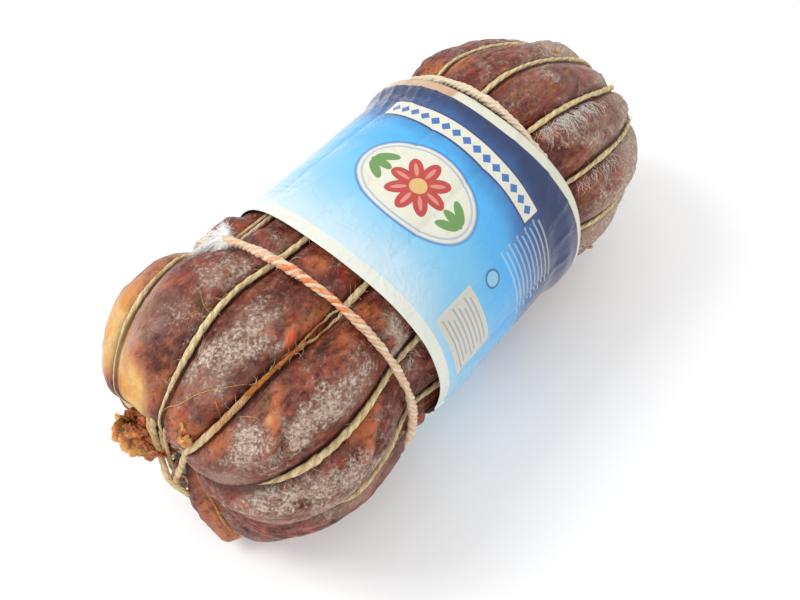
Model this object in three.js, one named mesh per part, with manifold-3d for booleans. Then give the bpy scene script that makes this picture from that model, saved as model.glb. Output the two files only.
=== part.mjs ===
// A whole coppa: one cured pork neck in its casing, tied lengthwise with twine in twelve runs,
// tied round twice with a thicker two-coloured twine, and wrapped in a printed sleeve.
// Millimetres, +Z up. +X runs along the sausage, the gathered end of the casing is at -X.
// The origin is under the middle of the whole, on the surface that it lies on.

import * as THREE from 'three';
import { mergeVertices } from 'three/addons/utils/BufferGeometryUtils.js';
import Module from 'manifold-3d';

const { clamp, degToRad, radToDeg, smoothstep } = THREE.MathUtils;

// Driving dimensions
const AXIS_HEIGHT = 49.5;
const ORIGIN = new THREE.Vector3(1.2, 0.5, -AXIS_HEIGHT);
const TWINE_DIAMETER = 2.3;
const TIE_DIAMETER = 3.3;
const GAP = 0.3;
const NEAR_TIE_X = -55.3;
const FAR_TIE_X = 40;
const LABEL_NEAR_X = -40.3;
const LABEL_FAR_X = 39.6;
const LABEL_INSIDE_RADIUS = 48.5;
const LABEL_THICKNESS = 0.5;
const LOBE_UNDER_LABEL = LABEL_INSIDE_RADIUS - GAP - 0.4;
const BED_HALF_WIDTH = TWINE_DIAMETER / 2 + 0.5;
const TIE_HEIGHT = TWINE_DIAMETER + 3 * GAP;
const TIE_CLEARANCE = 0.15;
const FAR_TIE_CLEARANCE = 1.05;
const NEAR_TIE_ROOM = TIE_DIAMETER + TIE_CLEARANCE + 0.4;
const FAR_TIE_ROOM = TIE_DIAMETER + FAR_TIE_CLEARANCE + 0.25;
const LABEL_CLEARANCE = 0.2;
const NECK_RADIUS = 4;
const COLLAR_HEIGHT = GAP + TWINE_DIAMETER / 2 + 0.9;
const COLLAR_RADIUS = NECK_RADIUS + GAP + TWINE_DIAMETER / 2 + 0.4;
const CAP_RADIUS = 46;

// The valleys' profile, from the gathered end to the far one: distance along the axis and radius
const PROFILE = [
  [-103.5, 0], [-105, 8], [-108, 18], [-106, 31], [-97.5, 41.5], [-84, 47.3], [-70, 48],
  [-55.3, 45.6], [-40, 44.8], [-20, 44.4], [5, 44.4], [25, 44.4], [40, 43.3], [54, 46.4],
  [68, 45.2], [82, 40.5], [95, 33], [105, 22], [109.5, 11], [110.5, 0],
];

// Each lengthwise run of twine: its angle from +Y towards +Z at the gathered end, the near tie,
// the far tie and the far end, then how much the lobe after it swells, near and far,
// as a share of the lobe's width
const RUNS = [
  { angles: [57, 54.5, 58, 67], swell: [0.22, 0.17] },
  { angles: [88, 83.5, 88, 96], swell: [0.21, 0.17] },
  { angles: [114, 113, 114, 122], swell: [0.22, 0.19] },
  { angles: [145, 145, 144, 148], swell: [0.19, 0.2] },
  { angles: [176, 176, 173, 181], swell: [0.19, 0.18] },
  { angles: [208, 202, 203, 210], swell: [0.17, 0.17] },
  { angles: [242, 229, 233, 240], swell: [0.17, 0.17] },
  { angles: [275, 258, 263, 268], swell: [0.18, 0.17] },
  { angles: [299, 289, 293, 297], swell: [0.18, 0.18] },
  { angles: [322, 320, 323, 327], swell: [0.18, 0.17] },
  { angles: [346, 351, 353, 357], swell: [0.2, 0.17] },
  { angles: [369, 382, 385, 391], swell: [0.15, 0.18] },
];
const ANGLE_X = [-108, NEAR_TIE_X, FAR_TIE_X, 108];

// Two runs stop short of the gathered end, where the casing's folds take them in
const RUN_STARTS = { 3: -104, 4: -88 };

// Places round each lobe, between the flat beds of the twine, where the skin has its vertices
const LOBE_STEPS = [0, 0.2, 0.5, 0.8, 1];

// Where the casing is gathered at each end, and how far the far end is bent aside
const FAR_BEND = -9.5;
const POLES = [
  { x: -103.5, y: 6, z: 5 },
  { x: 110.5, y: FAR_BEND, z: -3 },
];

const COLOURS = {
  casing: 0x6a2f22,
  twine: 0xb9a47c,
  tie: 0xe6c3a8,
  label: 0x5aa9dc,
};

const wasm = await Module();
wasm.setup();

const profileCurve = new THREE.SplineCurve(PROFILE.map(([x, r]) => new THREE.Vector2(x, r)));
profileCurve.arcLengthDivisions = 1200;
const PROFILE_LENGTH = profileCurve.getLength();

const bell = (t) => Math.exp(-t * t);
const softLower = (a, b, blend) => -blend * Math.log(Math.exp(-a / blend) + Math.exp(-b / blend));

// The profile's point at share s of its length, with the outward normal (nx, nr)
function profileAt(s) {
  const reach = 0.004;
  const point = profileCurve.getPointAt(clamp(s, 0, 1));
  const before = profileCurve.getPointAt(clamp(s - reach, 0, 1));
  const after = profileCurve.getPointAt(clamp(s + reach, 0, 1));
  const along = after.sub(before).normalize();
  return { x: point.x, r: Math.max(point.y, 0), nx: -along.y, nr: along.x };
}

// The share of the profile's length at which it passes x, away from the ends
function stationOfX(x) {
  let low = 0.1;
  let high = 0.9;
  for (let i = 0; i < 40; i += 1) {
    const middle = (low + high) / 2;
    if (profileCurve.getPointAt(middle).x < x) low = middle;
    else high = middle;
  }
  return (low + high) / 2;
}

// The angle of a run of twine at x, in degrees, with the small wander of a hand-tied string
function runAngle(index, x) {
  const turns = Math.floor(index / RUNS.length);
  const run = index - turns * RUNS.length;
  const { angles } = RUNS[run];
  let angle = angles[0];
  for (let k = 0; k < 3; k += 1) {
    angle += (angles[k + 1] - angles[k]) * smoothstep(x, ANGLE_X[k], ANGLE_X[k + 1]);
  }
  const wander = 0.8 * Math.sin(x / 17 + 2.1 * run) + 0.4 * Math.sin(x / 8 + 1.3 * run);
  return angle + 360 * turns + wander;
}

// Where the two ties run, as they lie a little askew
function nearTieX(angle) {
  const turned = angle - degToRad(150);
  return NEAR_TIE_X + 3 * Math.cos(turned) + 1.2 * Math.cos(2 * turned);
}

function farTieX(angle) {
  return FAR_TIE_X + 2.5 * Math.cos(angle - degToRad(40));
}

function tieShift(x, angle) {
  const near = (nearTieX(angle) - NEAR_TIE_X) * bell((x - NEAR_TIE_X) / 16);
  const far = (farTieX(angle) - FAR_TIE_X) * bell((x - FAR_TIE_X) / 16);
  return near + far;
}

// The middle line bends aside at the far end, and the ends close a little off it
function middleAt(x, r) {
  const fade = clamp(1 - r / CAP_RADIUS, 0, 1) ** 1.5;
  if (x < 0) return { y: POLES[0].y * fade, z: POLES[0].z * fade };
  return { y: FAR_BEND * clamp((x - 36) / 72, 0, 1) ** 1.4, z: POLES[1].z * fade };
}

// The shortest turn from one angle to another, in degrees
function turnFrom(centre, degrees) {
  return THREE.MathUtils.euclideanModulo(degrees - centre + 180, 360) - 180;
}

// The near tie pinches one side, and the gathered end is fuller below, flatter at both sides,
// hollow where its tuft lies and raised under the first run
function endShape(x, r, degrees) {
  if (x > -10) return 0;
  const side = (centre, spread) => bell(turnFrom(centre, degrees) / spread);
  const end = smoothstep(-x, 60, 75);
  const pinch = -3.5 * side(185, 38) * bell((x + 52) / 14);
  const slack = -4.5 * side(222, 26) * bell((x + 80) / 26) * smoothstep(-x, 58, 72);
  const full = 6.5 * side(250, 32) * bell((r - 37) / 11) * smoothstep(r, 8, 26) * end;
  const flat = -1.2 * side(40, 40) * bell((r - 36) / 12) * end;
  const hollow = -3.5 * side(35, 45) * bell((r - 18) / 10);
  const raised = 5 * side(55, 15) * smoothstep(-x, 57, 72) * smoothstep(r, 20, 34);
  return pinch + slack + full + flat + hollow + raised;
}

// A point of the skin, height above the valleys' level
function skin(s, degrees, height) {
  const { x, r, nx, nr } = profileAt(s);
  const angle = degToRad(degrees);
  const middle = middleAt(x, r);
  const out = height + endShape(x, r, degrees);
  const drawn = x < -70 ? 5 * bell((r - 42) / 9) * bell(turnFrom(252, degrees) / 14) : 0;
  return new THREE.Vector3(
    x + tieShift(x, angle) + nx * out - drawn,
    middle.y + (r + nr * out) * Math.cos(angle),
    middle.z + (r + nr * out) * Math.sin(angle),
  );
}

// The room that twine, ties and sleeve need between the skin and the surface it lies on
function roomBelow(x, arch) {
  const atTie = (tieX) => Math.exp(-(((x - tieX) / 6) ** 4));
  const twine = (TWINE_DIAMETER + GAP + 0.15) * (1 - smoothstep(arch, 0, 0.85));
  return twine + NEAR_TIE_ROOM * atTie(NEAR_TIE_X) + FAR_TIE_ROOM * atTie(FAR_TIE_X);
}

function settle(point, room) {
  point.z = Math.max(point.z, room - AXIS_HEIGHT);
  return point;
}

// How far a lobe swells out at x, round from one bed (0) to the next (1)
function lobeHeight(index, x, r, width, step, degrees) {
  const lobe = index % RUNS.length;
  const arch = Math.sin(Math.PI * clamp(step, 0, 1)) ** 0.75;
  const [nearSwell, farSwell] = RUNS[lobe].swell;
  const swell = nearSwell + (farSwell - nearSwell) * smoothstep(x, -20, 20);
  const uneven = 0.7 * Math.sin(x / 13 + 3 * lobe) + 0.5 * Math.sin(x / 7.5 + 5 * lobe + 4 * step);
  let height = arch * smoothstep(r, 6, 18) * (width * swell + uneven);
  const covered = smoothstep(x, LABEL_NEAR_X - 8, LABEL_NEAR_X - 2)
    * smoothstep(-x, -LABEL_FAR_X - 2, -LABEL_FAR_X + 4);
  height += covered * (softLower(height, (LOBE_UNDER_LABEL - r) * arch, 0.25) - height);
  for (const tieX of [NEAR_TIE_X, FAR_TIE_X]) {
    const pressed = (TWINE_DIAMETER + 0.4 + 0.09 * (x - tieX) ** 2) * arch ** 0.35;
    height = softLower(height, pressed, 0.3);
  }
  height = Math.max(height, 0);
  if (x < -70) {
    const away = Math.hypot((r - 37) / 4.5, turnFrom(250, degrees) / 8, 0.2);
    height += 6.5 * Math.exp(-away) * arch;
  }
  return height;
}

// A vertex of the skin on the lobe after run `index`
function lobePoint(s, index, step) {
  const { x, r } = profileAt(s);
  const start = runAngle(index, x);
  const end = runAngle(index + 1, x);
  const bed = Math.min(radToDeg(BED_HALF_WIDTH / Math.max(r, 8)), 0.45 * (end - start));
  const aside = index % RUNS.length === 0 ? linkBed(x) / Math.max(r, 8) : 0;
  const low = start + bed + radToDeg(aside);
  const high = end - bed;
  const degrees = low + (high - low) * step;
  const arch = Math.sin(Math.PI * clamp(step, 0, 1)) ** 0.75;
  const height = lobeHeight(index, x, r, r * degToRad(high - low), step, degrees);
  return settle(skin(s, degrees, height), roomBelow(x, arch));
}

// Beside the first run the bed is wider, for the link that leaves the near tie
function linkBed(x) {
  return (TIE_DIAMETER + 0.8) * smoothstep(x, NEAR_TIE_X - 6, NEAR_TIE_X) * smoothstep(-x, 26, 32);
}

// Stations along the profile, closer together at the ends and at the ties
function stationList() {
  const stations = [];
  let distance = 3;
  while (distance < PROFILE_LENGTH - 2) {
    const s = distance / PROFILE_LENGTH;
    stations.push(s);
    const { x, r } = profileAt(s);
    const tie = Math.min(Math.abs(x - NEAR_TIE_X), Math.abs(x - FAR_TIE_X));
    let stride = 8.5;
    if (r < 40) stride = 6.5;
    if (r < 9) stride = 3;
    if (Math.abs(x) < 28) stride = 14;
    if (tie < 9) stride = 3.6;
    distance += stride;
  }
  return stations;
}

// A closed mesh from vertices and triangles, its faces turned outwards
function closedGeometry(vertices, triangles) {
  let volume = 0;
  for (const [a, b, c] of triangles) {
    volume += vertices[a].dot(new THREE.Vector3().crossVectors(vertices[b], vertices[c]));
  }
  const faces = volume > 0 ? triangles : triangles.map(([a, b, c]) => [a, c, b]);
  const geometry = new THREE.BufferGeometry();
  const places = vertices.flatMap((v) => v.toArray());
  geometry.setAttribute('position', new THREE.Float32BufferAttribute(places, 3));
  geometry.setIndex(faces.flat());
  return geometry;
}

// Joins rows of vertices into triangles; each row is a closed loop
function joinRows(rows, columns) {
  const triangles = [];
  for (let i = 0; i + 1 < rows.length; i += 1) {
    for (let j = 0; j < columns; j += 1) {
      const next = (j + 1) % columns;
      const [a, b, c, d] = [rows[i] + j, rows[i] + next, rows[i + 1] + next, rows[i + 1] + j];
      triangles.push([a, b, c], [a, c, d]);
    }
  }
  return triangles;
}

// A tube through frames { centre, out, radius }, closed by a fan at each end, or into a ring
function tube(frames, sides, ring = false) {
  const vertices = [];
  const rows = [];
  frames.forEach(({ centre, out, radius, crumple }, i) => {
    const before = frames[ring ? (i + frames.length - 1) % frames.length : Math.max(i - 1, 0)].centre;
    const after = frames[ring ? (i + 1) % frames.length : Math.min(i + 1, frames.length - 1)].centre;
    const along = after.clone().sub(before).normalize();
    const side = new THREE.Vector3().crossVectors(along, out).normalize();
    const up = new THREE.Vector3().crossVectors(side, along);
    rows.push(vertices.length);
    for (let k = 0; k < sides; k += 1) {
      const angle = (2 * Math.PI * k) / sides;
      const reach = radius * (crumple ? crumple(angle, i) : 1);
      const point = centre.clone().addScaledVector(up, reach * Math.cos(angle));
      vertices.push(point.addScaledVector(side, reach * Math.sin(angle)));
    }
  });
  if (ring) return closedGeometry(vertices, joinRows([...rows, rows[0]], sides));
  const triangles = joinRows(rows, sides);
  for (const [row, centre] of [[rows[0], frames[0].centre], [rows.at(-1), frames.at(-1).centre]]) {
    const hub = vertices.length;
    vertices.push(centre.clone());
    for (let k = 0; k < sides; k += 1) {
      const [a, b] = [row + k, row + ((k + 1) % sides)];
      triangles.push(row === rows[0] ? [hub, b, a] : [hub, a, b]);
    }
  }
  return closedGeometry(vertices, triangles);
}

function toSolid(geometry) {
  const bare = geometry.clone();
  bare.deleteAttribute('normal');
  bare.deleteAttribute('uv');
  const merged = mergeVertices(bare, 1e-4);
  return new wasm.Manifold(new wasm.Mesh({
    numProp: 3,
    vertProperties: new Float32Array(merged.attributes.position.array),
    triVerts: new Uint32Array(merged.index.array),
  }));
}

function toGeometry(solid) {
  const { vertProperties, triVerts } = solid.getMesh();
  const geometry = new THREE.BufferGeometry();
  geometry.setAttribute('position', new THREE.BufferAttribute(new Float32Array(vertProperties), 3));
  geometry.setIndex(new THREE.BufferAttribute(new Uint32Array(triVerts), 1));
  return geometry;
}

function fuse(geometries) {
  return toGeometry(geometries.map(toSolid).reduce((whole, solid) => whole.add(solid)));
}

const STATIONS = stationList();

// The lobed skin, closed by a fan at each pole
function casingShell() {
  const vertices = [];
  const rows = [];
  for (const s of STATIONS) {
    rows.push(vertices.length);
    for (let lobe = 0; lobe < RUNS.length; lobe += 1) {
      for (const step of LOBE_STEPS) vertices.push(lobePoint(s, lobe, step));
    }
  }
  const columns = RUNS.length * LOBE_STEPS.length;
  const triangles = joinRows(rows, columns);
  for (const [row, s, turn] of [[rows[0], 0, 1], [rows.at(-1), 1, 0]]) {
    const pole = vertices.length;
    vertices.push(skin(s, 0, 0));
    for (let k = 0; k < columns; k += 1) {
      const [a, b] = [row + k, row + ((k + 1) % columns)];
      triangles.push(turn ? [pole, b, a] : [pole, a, b]);
    }
  }
  return closedGeometry(vertices, triangles);
}

// The casing's gathered end: a neck that the twine holds, then a crumpled tuft bent aside
function gatheredEnd(pole, path, radii) {
  const points = path.map(([x, y, z]) => new THREE.Vector3(pole.x + x, pole.y + y, pole.z + z));
  const curve = new THREE.CatmullRomCurve3(points);
  const folds = (angle, row) => 1 + 0.14 * Math.sin(5 * angle + row) + 0.08 * Math.sin(3 * angle - 2 * row);
  const frames = radii.map((radius, i) => ({
    centre: curve.getPoint(i / (radii.length - 1)),
    out: new THREE.Vector3(0, -0.6, 0.8),
    radius,
    crumple: (angle, row) => (row < 4 ? 1 : folds(angle, row)),
  }));
  return tube(frames, 10);
}

// Each path starts inside the pole and is given from it
const GATHERED_PATH = [[6, 0, 0], [0, 0, 0], [-6, 0, 0], [-11, 7.5, 10], [-11.5, 11.5, 15.5]];
const GATHERED_RADII = [4, 4, 4, 4, 4, 4, 4.4, 5.1, 5.4, 4.6, 2];
const FAR_PATH = [[-6, 0, 0], [0, 0, 0], [5, 0, 0], [9, -1, 2], [11, -2, 4]];
const FAR_RADII = [4, 4, 4, 4, 4, 4, 5, 5.2, 4.2, 3, 1.2];

function coppaBody() {
  return fuse([
    casingShell(),
    gatheredEnd(POLES[0], GATHERED_PATH, GATHERED_RADII),
    gatheredEnd(POLES[1], FAR_PATH, FAR_RADII),
  ]);
}

// The middle of a cord that lies on the beds' level: its radius and the gap above the skin
function cordFrame(s, degrees, radius, below = 0) {
  const { x, nx, nr } = profileAt(s);
  const at = (ds, da) => settle(skin(s + ds, degrees + da, 0), roomBelow(x, 0));
  const along = at(0.003, 0).sub(at(-0.003, 0));
  const round = at(0, 0.5).sub(at(0, -0.5));
  const out = new THREE.Vector3().crossVectors(round, along).normalize();
  const angle = degToRad(degrees);
  const outward = new THREE.Vector3(nx, nr * Math.cos(angle), nr * Math.sin(angle));
  if (out.dot(outward) < 0) out.negate();
  return { centre: at(0, 0).addScaledVector(out, below + GAP + radius), out, radius };
}

function twineRun(index) {
  const start = RUN_STARTS[index];
  const frames = STATIONS
    .filter((s) => profileAt(s).r >= 8 && !(profileAt(s).x < start))
    .map((s) => cordFrame(s, runAngle(index, profileAt(s).x), TWINE_DIAMETER / 2));
  const ends = POLES.map((pole) => collarFrame(pole, degToRad(runAngle(index, pole.x))));
  return tube(start < 0 ? [...frames, ends[1]] : [ends[0], ...frames, ends[1]], 5);
}

// Twine wound round the neck of the casing, where the runs meet
function collarFrame(pole, angle) {
  const out = new THREE.Vector3(0, Math.cos(angle), Math.sin(angle));
  const centre = new THREE.Vector3(pole.x + Math.sign(pole.x) * COLLAR_HEIGHT, pole.y, pole.z);
  return { centre: centre.addScaledVector(out, COLLAR_RADIUS), out, radius: TWINE_DIAMETER / 2 };
}

function collar(pole) {
  const count = 20;
  const frames = Array.from({ length: count }, (_, i) => collarFrame(pole, (2 * Math.PI * i) / count));
  return tube(frames, 6, true);
}

function lengthwiseTwine() {
  const runs = RUNS.map((_, index) => twineRun(index));
  return fuse([...runs, ...POLES.map(collar)]);
}

// A tie goes round over the lengthwise runs
function tieRing(tieX, clearance) {
  const radius = TIE_DIAMETER / 2;
  const s = stationOfX(tieX);
  const count = 48;
  const frames = Array.from({ length: count }, (_, i) => {
    const degrees = (360 * i) / count;
    const angle = degToRad(degrees);
    const out = new THREE.Vector3(0, Math.cos(angle), Math.sin(angle));
    const centre = skin(s, degrees, TIE_HEIGHT + radius);
    centre.z = Math.max(centre.z, radius + clearance - AXIS_HEIGHT);
    return { centre, out, radius };
  });
  return tube(frames, 6, true);
}

// The near tie with its knot, a loose end and the link that runs on under the sleeve
function nearTie() {
  const radius = TIE_DIAMETER / 2;
  const knotAngle = 58;
  const knot = skin(stationOfX(NEAR_TIE_X), knotAngle, TIE_HEIGHT + 4 * GAP + radius);
  const knotGeometry = new THREE.IcosahedronGeometry(1, 1);
  knotGeometry.scale(5, 5.5, 3.2);
  knotGeometry.rotateX(degToRad(knotAngle - 90));
  knotGeometry.translate(knot.x, knot.y, knot.z);
  const linkFrames = [];
  for (let x = NEAR_TIE_X; x <= LABEL_NEAR_X + 5.5; x += 3.4) {
    const s = stationOfX(x);
    linkFrames.push(cordFrame(s, runAngle(0, x) + radToDeg(3.4 / profileAt(s).r), radius, 0.1));
  }
  const endFrames = [];
  for (let i = 0; i < 5; i += 1) {
    const x = NEAR_TIE_X - 2.6 * i;
    const frame = cordFrame(stationOfX(x), runAngle(0, x) + 1, 2.2 - 0.3 * i, TWINE_DIAMETER + GAP + 0.9);
    endFrames.push(frame);
  }
  return fuse([tieRing(NEAR_TIE_X, TIE_CLEARANCE), knotGeometry, tube(linkFrames, 6), tube(endFrames, 6)]);
}

function labelEdgeX(angle, far) {
  const drawnBack = 2.8 * bell(turnFrom(108, radToDeg(angle)) / 28);
  if (far) return LABEL_FAR_X + 1.6 * Math.cos(2 * (angle - degToRad(155))) - drawnBack;
  return LABEL_NEAR_X + 1.6 * Math.cos(3 * (angle - degToRad(150)));
}

// The sleeve is taut over the lobes, and stands open a little at both edges, less where the
// far tie shows beside it
function labelRow(share, thickness) {
  const row = [];
  for (let run = 0; run < RUNS.length; run += 1) {
    for (const step of [0, 0.3, 0.7]) {
      const rough = LABEL_NEAR_X + (LABEL_FAR_X - LABEL_NEAR_X) * share;
      const degrees = runAngle(run, rough) * (1 - step) + runAngle(run + 1, rough) * step;
      const angle = degToRad(degrees);
      const near = labelEdgeX(angle, false);
      const x = near + (labelEdgeX(angle, true) - near) * share;
      const middlePart = smoothstep(x, -38, -26) * smoothstep(-x, -27, -18);
      const dip = 0.8 * (1 - Math.sin(Math.PI * step) ** 0.5) * middlePart;
      const farFlare = 1.9 - 1.1 * bell(turnFrom(85, degrees) / 30);
      const flare = 0.9 * (1 - smoothstep(x - near, 0, 16)) + farFlare * smoothstep(x, 27, 35);
      const radius = LABEL_INSIDE_RADIUS - dip + flare + thickness;
      const middle = middleAt(x, CAP_RADIUS);
      const z = middle.z + radius * Math.sin(angle);
      const lowest = LABEL_CLEARANCE + LABEL_THICKNESS - thickness - AXIS_HEIGHT;
      row.push(new THREE.Vector3(x, middle.y + radius * Math.cos(angle), Math.max(z, lowest)));
    }
  }
  return row;
}

function labelSleeve() {
  const shares = [0, 0.1, 0.22, 0.5, 0.78, 0.86, 0.94, 1];
  const outside = shares.map((share) => labelRow(share, LABEL_THICKNESS));
  const inside = shares.map((share) => labelRow(share, 0)).reverse();
  const rows = [...outside, ...inside];
  const columns = rows[0].length;
  const starts = rows.map((_, i) => i * columns);
  return closedGeometry(rows.flat(), joinRows([...starts, 0], columns));
}

function piece(name, geometry, colour, roughness) {
  const material = new THREE.MeshStandardMaterial({ color: colour, roughness, metalness: 0 });
  const mesh = new THREE.Mesh(geometry, material);
  mesh.name = name;
  mesh.position.sub(ORIGIN);
  return mesh;
}

const coppa = new THREE.Group();
coppa.add(piece('coppa_body', coppaBody(), COLOURS.casing, 0.35));
coppa.add(piece('lengthwise_twine', lengthwiseTwine(), COLOURS.twine, 0.9));
coppa.add(piece('near_tie', nearTie(), COLOURS.tie, 0.9));
coppa.add(piece('far_tie', tieRing(FAR_TIE_X, FAR_TIE_CLEARANCE), COLOURS.tie, 0.9));
coppa.add(piece('label_sleeve', labelSleeve(), COLOURS.label, 0.3));

export default coppa;
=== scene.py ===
import bpy
import numpy as np
from mathutils import Matrix, Vector


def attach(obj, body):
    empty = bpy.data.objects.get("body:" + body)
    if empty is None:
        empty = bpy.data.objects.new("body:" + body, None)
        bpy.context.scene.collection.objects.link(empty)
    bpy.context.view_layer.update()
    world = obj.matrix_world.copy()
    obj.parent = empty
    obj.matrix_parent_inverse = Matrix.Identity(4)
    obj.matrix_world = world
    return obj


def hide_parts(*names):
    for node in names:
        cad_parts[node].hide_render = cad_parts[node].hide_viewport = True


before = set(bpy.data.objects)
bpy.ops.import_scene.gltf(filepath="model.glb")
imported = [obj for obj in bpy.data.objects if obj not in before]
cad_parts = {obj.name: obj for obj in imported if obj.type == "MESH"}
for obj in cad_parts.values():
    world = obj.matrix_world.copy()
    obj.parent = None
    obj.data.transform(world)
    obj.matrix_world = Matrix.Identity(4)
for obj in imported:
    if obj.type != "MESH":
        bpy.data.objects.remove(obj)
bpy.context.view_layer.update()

# The looks of a whole coppa: its lobed skin, gathered ends, twine, two ties and printed sleeve.
# Shapes are worked out in millimetres about the sausage's own axis, then moved to the frame.
MM = 0.001
ORIGIN = np.array([1.2, 0.5, -49.5])
AXIS_HEIGHT = 49.5
SLEEVE_MIDDLE_RADIUS = 49.0

# Driving sizes
TWINE_DIAMETER = 2.3
TIE_DIAMETER = 3.3
GAP = 0.3
NEAR_TIE_X = -55.3
FAR_TIE_X = 40.0
LABEL_NEAR_X = -40.3
LABEL_FAR_X = 39.6
LABEL_INSIDE_RADIUS = 48.5
LABEL_THICKNESS = 0.5
FILM_THICKNESS = 0.22
LOBE_UNDER_LABEL = LABEL_INSIDE_RADIUS - GAP - 0.4
BED_HALF_WIDTH = TWINE_DIAMETER / 2 + 0.25
TIE_HEIGHT = TWINE_DIAMETER + 3 * GAP
TIE_CLEARANCE = 0.15
FAR_TIE_CLEARANCE = 1.05
NEAR_TIE_ROOM = TIE_DIAMETER + TIE_CLEARANCE + 0.4
FAR_TIE_ROOM = TIE_DIAMETER + FAR_TIE_CLEARANCE + 0.25
LABEL_CLEARANCE = 0.2
NECK_RADIUS = 4.0
COLLAR_HEIGHT = GAP + TWINE_DIAMETER / 2 + 0.9
COLLAR_RADIUS = NECK_RADIUS + GAP + TWINE_DIAMETER / 2 + 0.4
CAP_RADIUS = 46.0
FAR_BEND = -9.5
POLES = np.array([[-103.5, 6.0, 5.0], [110.5, FAR_BEND, -3.0]])

# The valleys' profile from the gathered end to the far one: distance along the axis and radius
PROFILE = [
    (-103.5, 0), (-105, 8), (-108, 18), (-106, 31), (-97.5, 41.5), (-84, 47.3), (-70, 48),
    (-55.3, 45.6), (-40, 44.8), (-20, 44.4), (5, 44.4), (25, 44.4), (40, 43.3), (54, 46.4),
    (68, 45.2), (82, 40.5), (95, 33), (105, 22), (109.5, 11), (110.5, 0),
]

# Each lengthwise run: its angle at the gathered end, the near tie, the far tie and the far end,
# then how much the lobe after it swells, near and far, as a share of the lobe's width
RUNS = np.array([
    (57, 54.5, 58, 67, 0.22, 0.17),
    (88, 83.5, 88, 96, 0.21, 0.17),
    (114, 113, 114, 122, 0.22, 0.19),
    (145, 145, 144, 148, 0.19, 0.20),
    (176, 176, 173, 181, 0.19, 0.18),
    (208, 202, 203, 210, 0.17, 0.17),
    (242, 229, 233, 240, 0.17, 0.17),
    (275, 258, 263, 268, 0.18, 0.17),
    (299, 289, 293, 297, 0.18, 0.18),
    (322, 320, 323, 327, 0.18, 0.17),
    (346, 351, 353, 357, 0.20, 0.17),
    (369, 382, 385, 391, 0.15, 0.18),
])
RUN_COUNT = len(RUNS)
LOBE_ROUNDNESS = 0.75
ANGLE_X = [-108, NEAR_TIE_X, FAR_TIE_X, 108]
RUN_STARTS = {3: -102.5, 4: -88}


def smooth(value, low, high):
    """Rises gently from 0 at low to 1 at high."""
    t = np.clip((value - low) / (high - low), 0, 1)
    return t * t * (3 - 2 * t)


def bell(t):
    return np.exp(-t * t)


def arched(step, power):
    """Round from 0 at both ends to 1 in the middle."""
    return np.sin(np.pi * np.clip(step, 0, 1)) ** power


def soft_lower(a, b, blend):
    return -blend * np.logaddexp(-a / blend, -b / blend)


def unit(vectors):
    return vectors / np.linalg.norm(vectors, axis=-1, keepdims=True)


def turn_from(centre, degrees):
    """The shortest turn from one angle to another."""
    return (degrees - centre + 180) % 360 - 180


def on_tube(x, radius, angle, middle=(0, 0)):
    """Points at x, at a radius and an angle about that middle."""
    y, z = middle
    return np.stack(np.broadcast_arrays(x, y + radius * np.cos(angle), z + radius * np.sin(angle)), -1)


def heading(angle, ahead, aside):
    """Directions at an angle from the first way towards the second."""
    return np.cos(angle)[..., None] * ahead + np.sin(angle)[..., None] * aside


def lattice_noise(points, size, seed):
    """Smooth noise from -1 to 1: random values on a lattice with cells of that size."""
    values = np.random.default_rng(seed).uniform(-1, 1, 4096)
    scaled = points / np.asarray(size, float)
    cell = np.floor(scaled).astype(np.int64)
    part = scaled - cell
    part = part * part * (3 - 2 * part)
    total = np.zeros(points.shape[:-1])
    for corner in np.ndindex(2, 2, 2):
        at = cell + np.array(corner)
        index = (at[..., 0] * 73856093) ^ (at[..., 1] * 19349663) ^ (at[..., 2] * 83492791)
        weight = np.prod(np.where(np.array(corner) == 1, part, 1 - part), axis=-1)
        total += weight * values[index & 4095]
    return total


def spline_through(points, count):
    """A curve through the points, count places long, as a table."""
    p = np.array(points, float)
    t = np.linspace(0, len(p) - 1, count)
    i = np.minimum(t.astype(int), len(p) - 2)
    w = (t - i)[:, None]
    p0, p1, p2, p3 = p[np.maximum(i - 1, 0)], p[i], p[i + 1], p[np.minimum(i + 2, len(p) - 1)]
    v1, v2 = (p2 - p0) / 2, (p3 - p1) / 2
    return (2 * p1 - 2 * p2 + v1 + v2) * w**3 + (3 * p2 - 3 * p1 - 2 * v1 - v2) * w**2 + v1 * w + p1


PROFILE_CURVE = spline_through(PROFILE, 6000)
PROFILE_STEPS = np.hypot(*np.diff(PROFILE_CURVE, axis=0).T)
PROFILE_LENGTH = PROFILE_STEPS.sum()
PROFILE_SHARE = np.concatenate([[0], np.cumsum(PROFILE_STEPS)]) / PROFILE_LENGTH


def profile_at(s):
    """x, radius and outward normal of the profile at share s of its length."""
    reach = 0.004
    before, after = np.clip(s - reach, 0, 1), np.clip(s + reach, 0, 1)
    x, r = (np.interp(s, PROFILE_SHARE, PROFILE_CURVE[:, k]) for k in (0, 1))
    dx, dr = (
        np.interp(after, PROFILE_SHARE, PROFILE_CURVE[:, k])
        - np.interp(before, PROFILE_SHARE, PROFILE_CURVE[:, k])
        for k in (0, 1)
    )
    length = np.hypot(dx, dr)
    return x, np.maximum(r, 0), -dr / length, dx / length


def station_of_x(x):
    """The share of the profile's length at which it passes x, away from the ends."""
    inner = (PROFILE_SHARE > 0.1) & (PROFILE_SHARE < 0.9)
    return np.interp(x, PROFILE_CURVE[inner, 0], PROFILE_SHARE[inner])


def run_angle(index, x):
    """The angle of a run of twine at x, in degrees."""
    index = np.asarray(index)
    run = index % RUN_COUNT
    angles = RUNS[run]
    angle = angles[..., 0]
    for k in range(3):
        angle = angle + (angles[..., k + 1] - angles[..., k]) * smooth(x, ANGLE_X[k], ANGLE_X[k + 1])
    wander = 0.8 * np.sin(x / 17 + 2.1 * run) + 0.4 * np.sin(x / 8 + 1.3 * run)
    return angle + 360 * (index // RUN_COUNT) + wander


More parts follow.
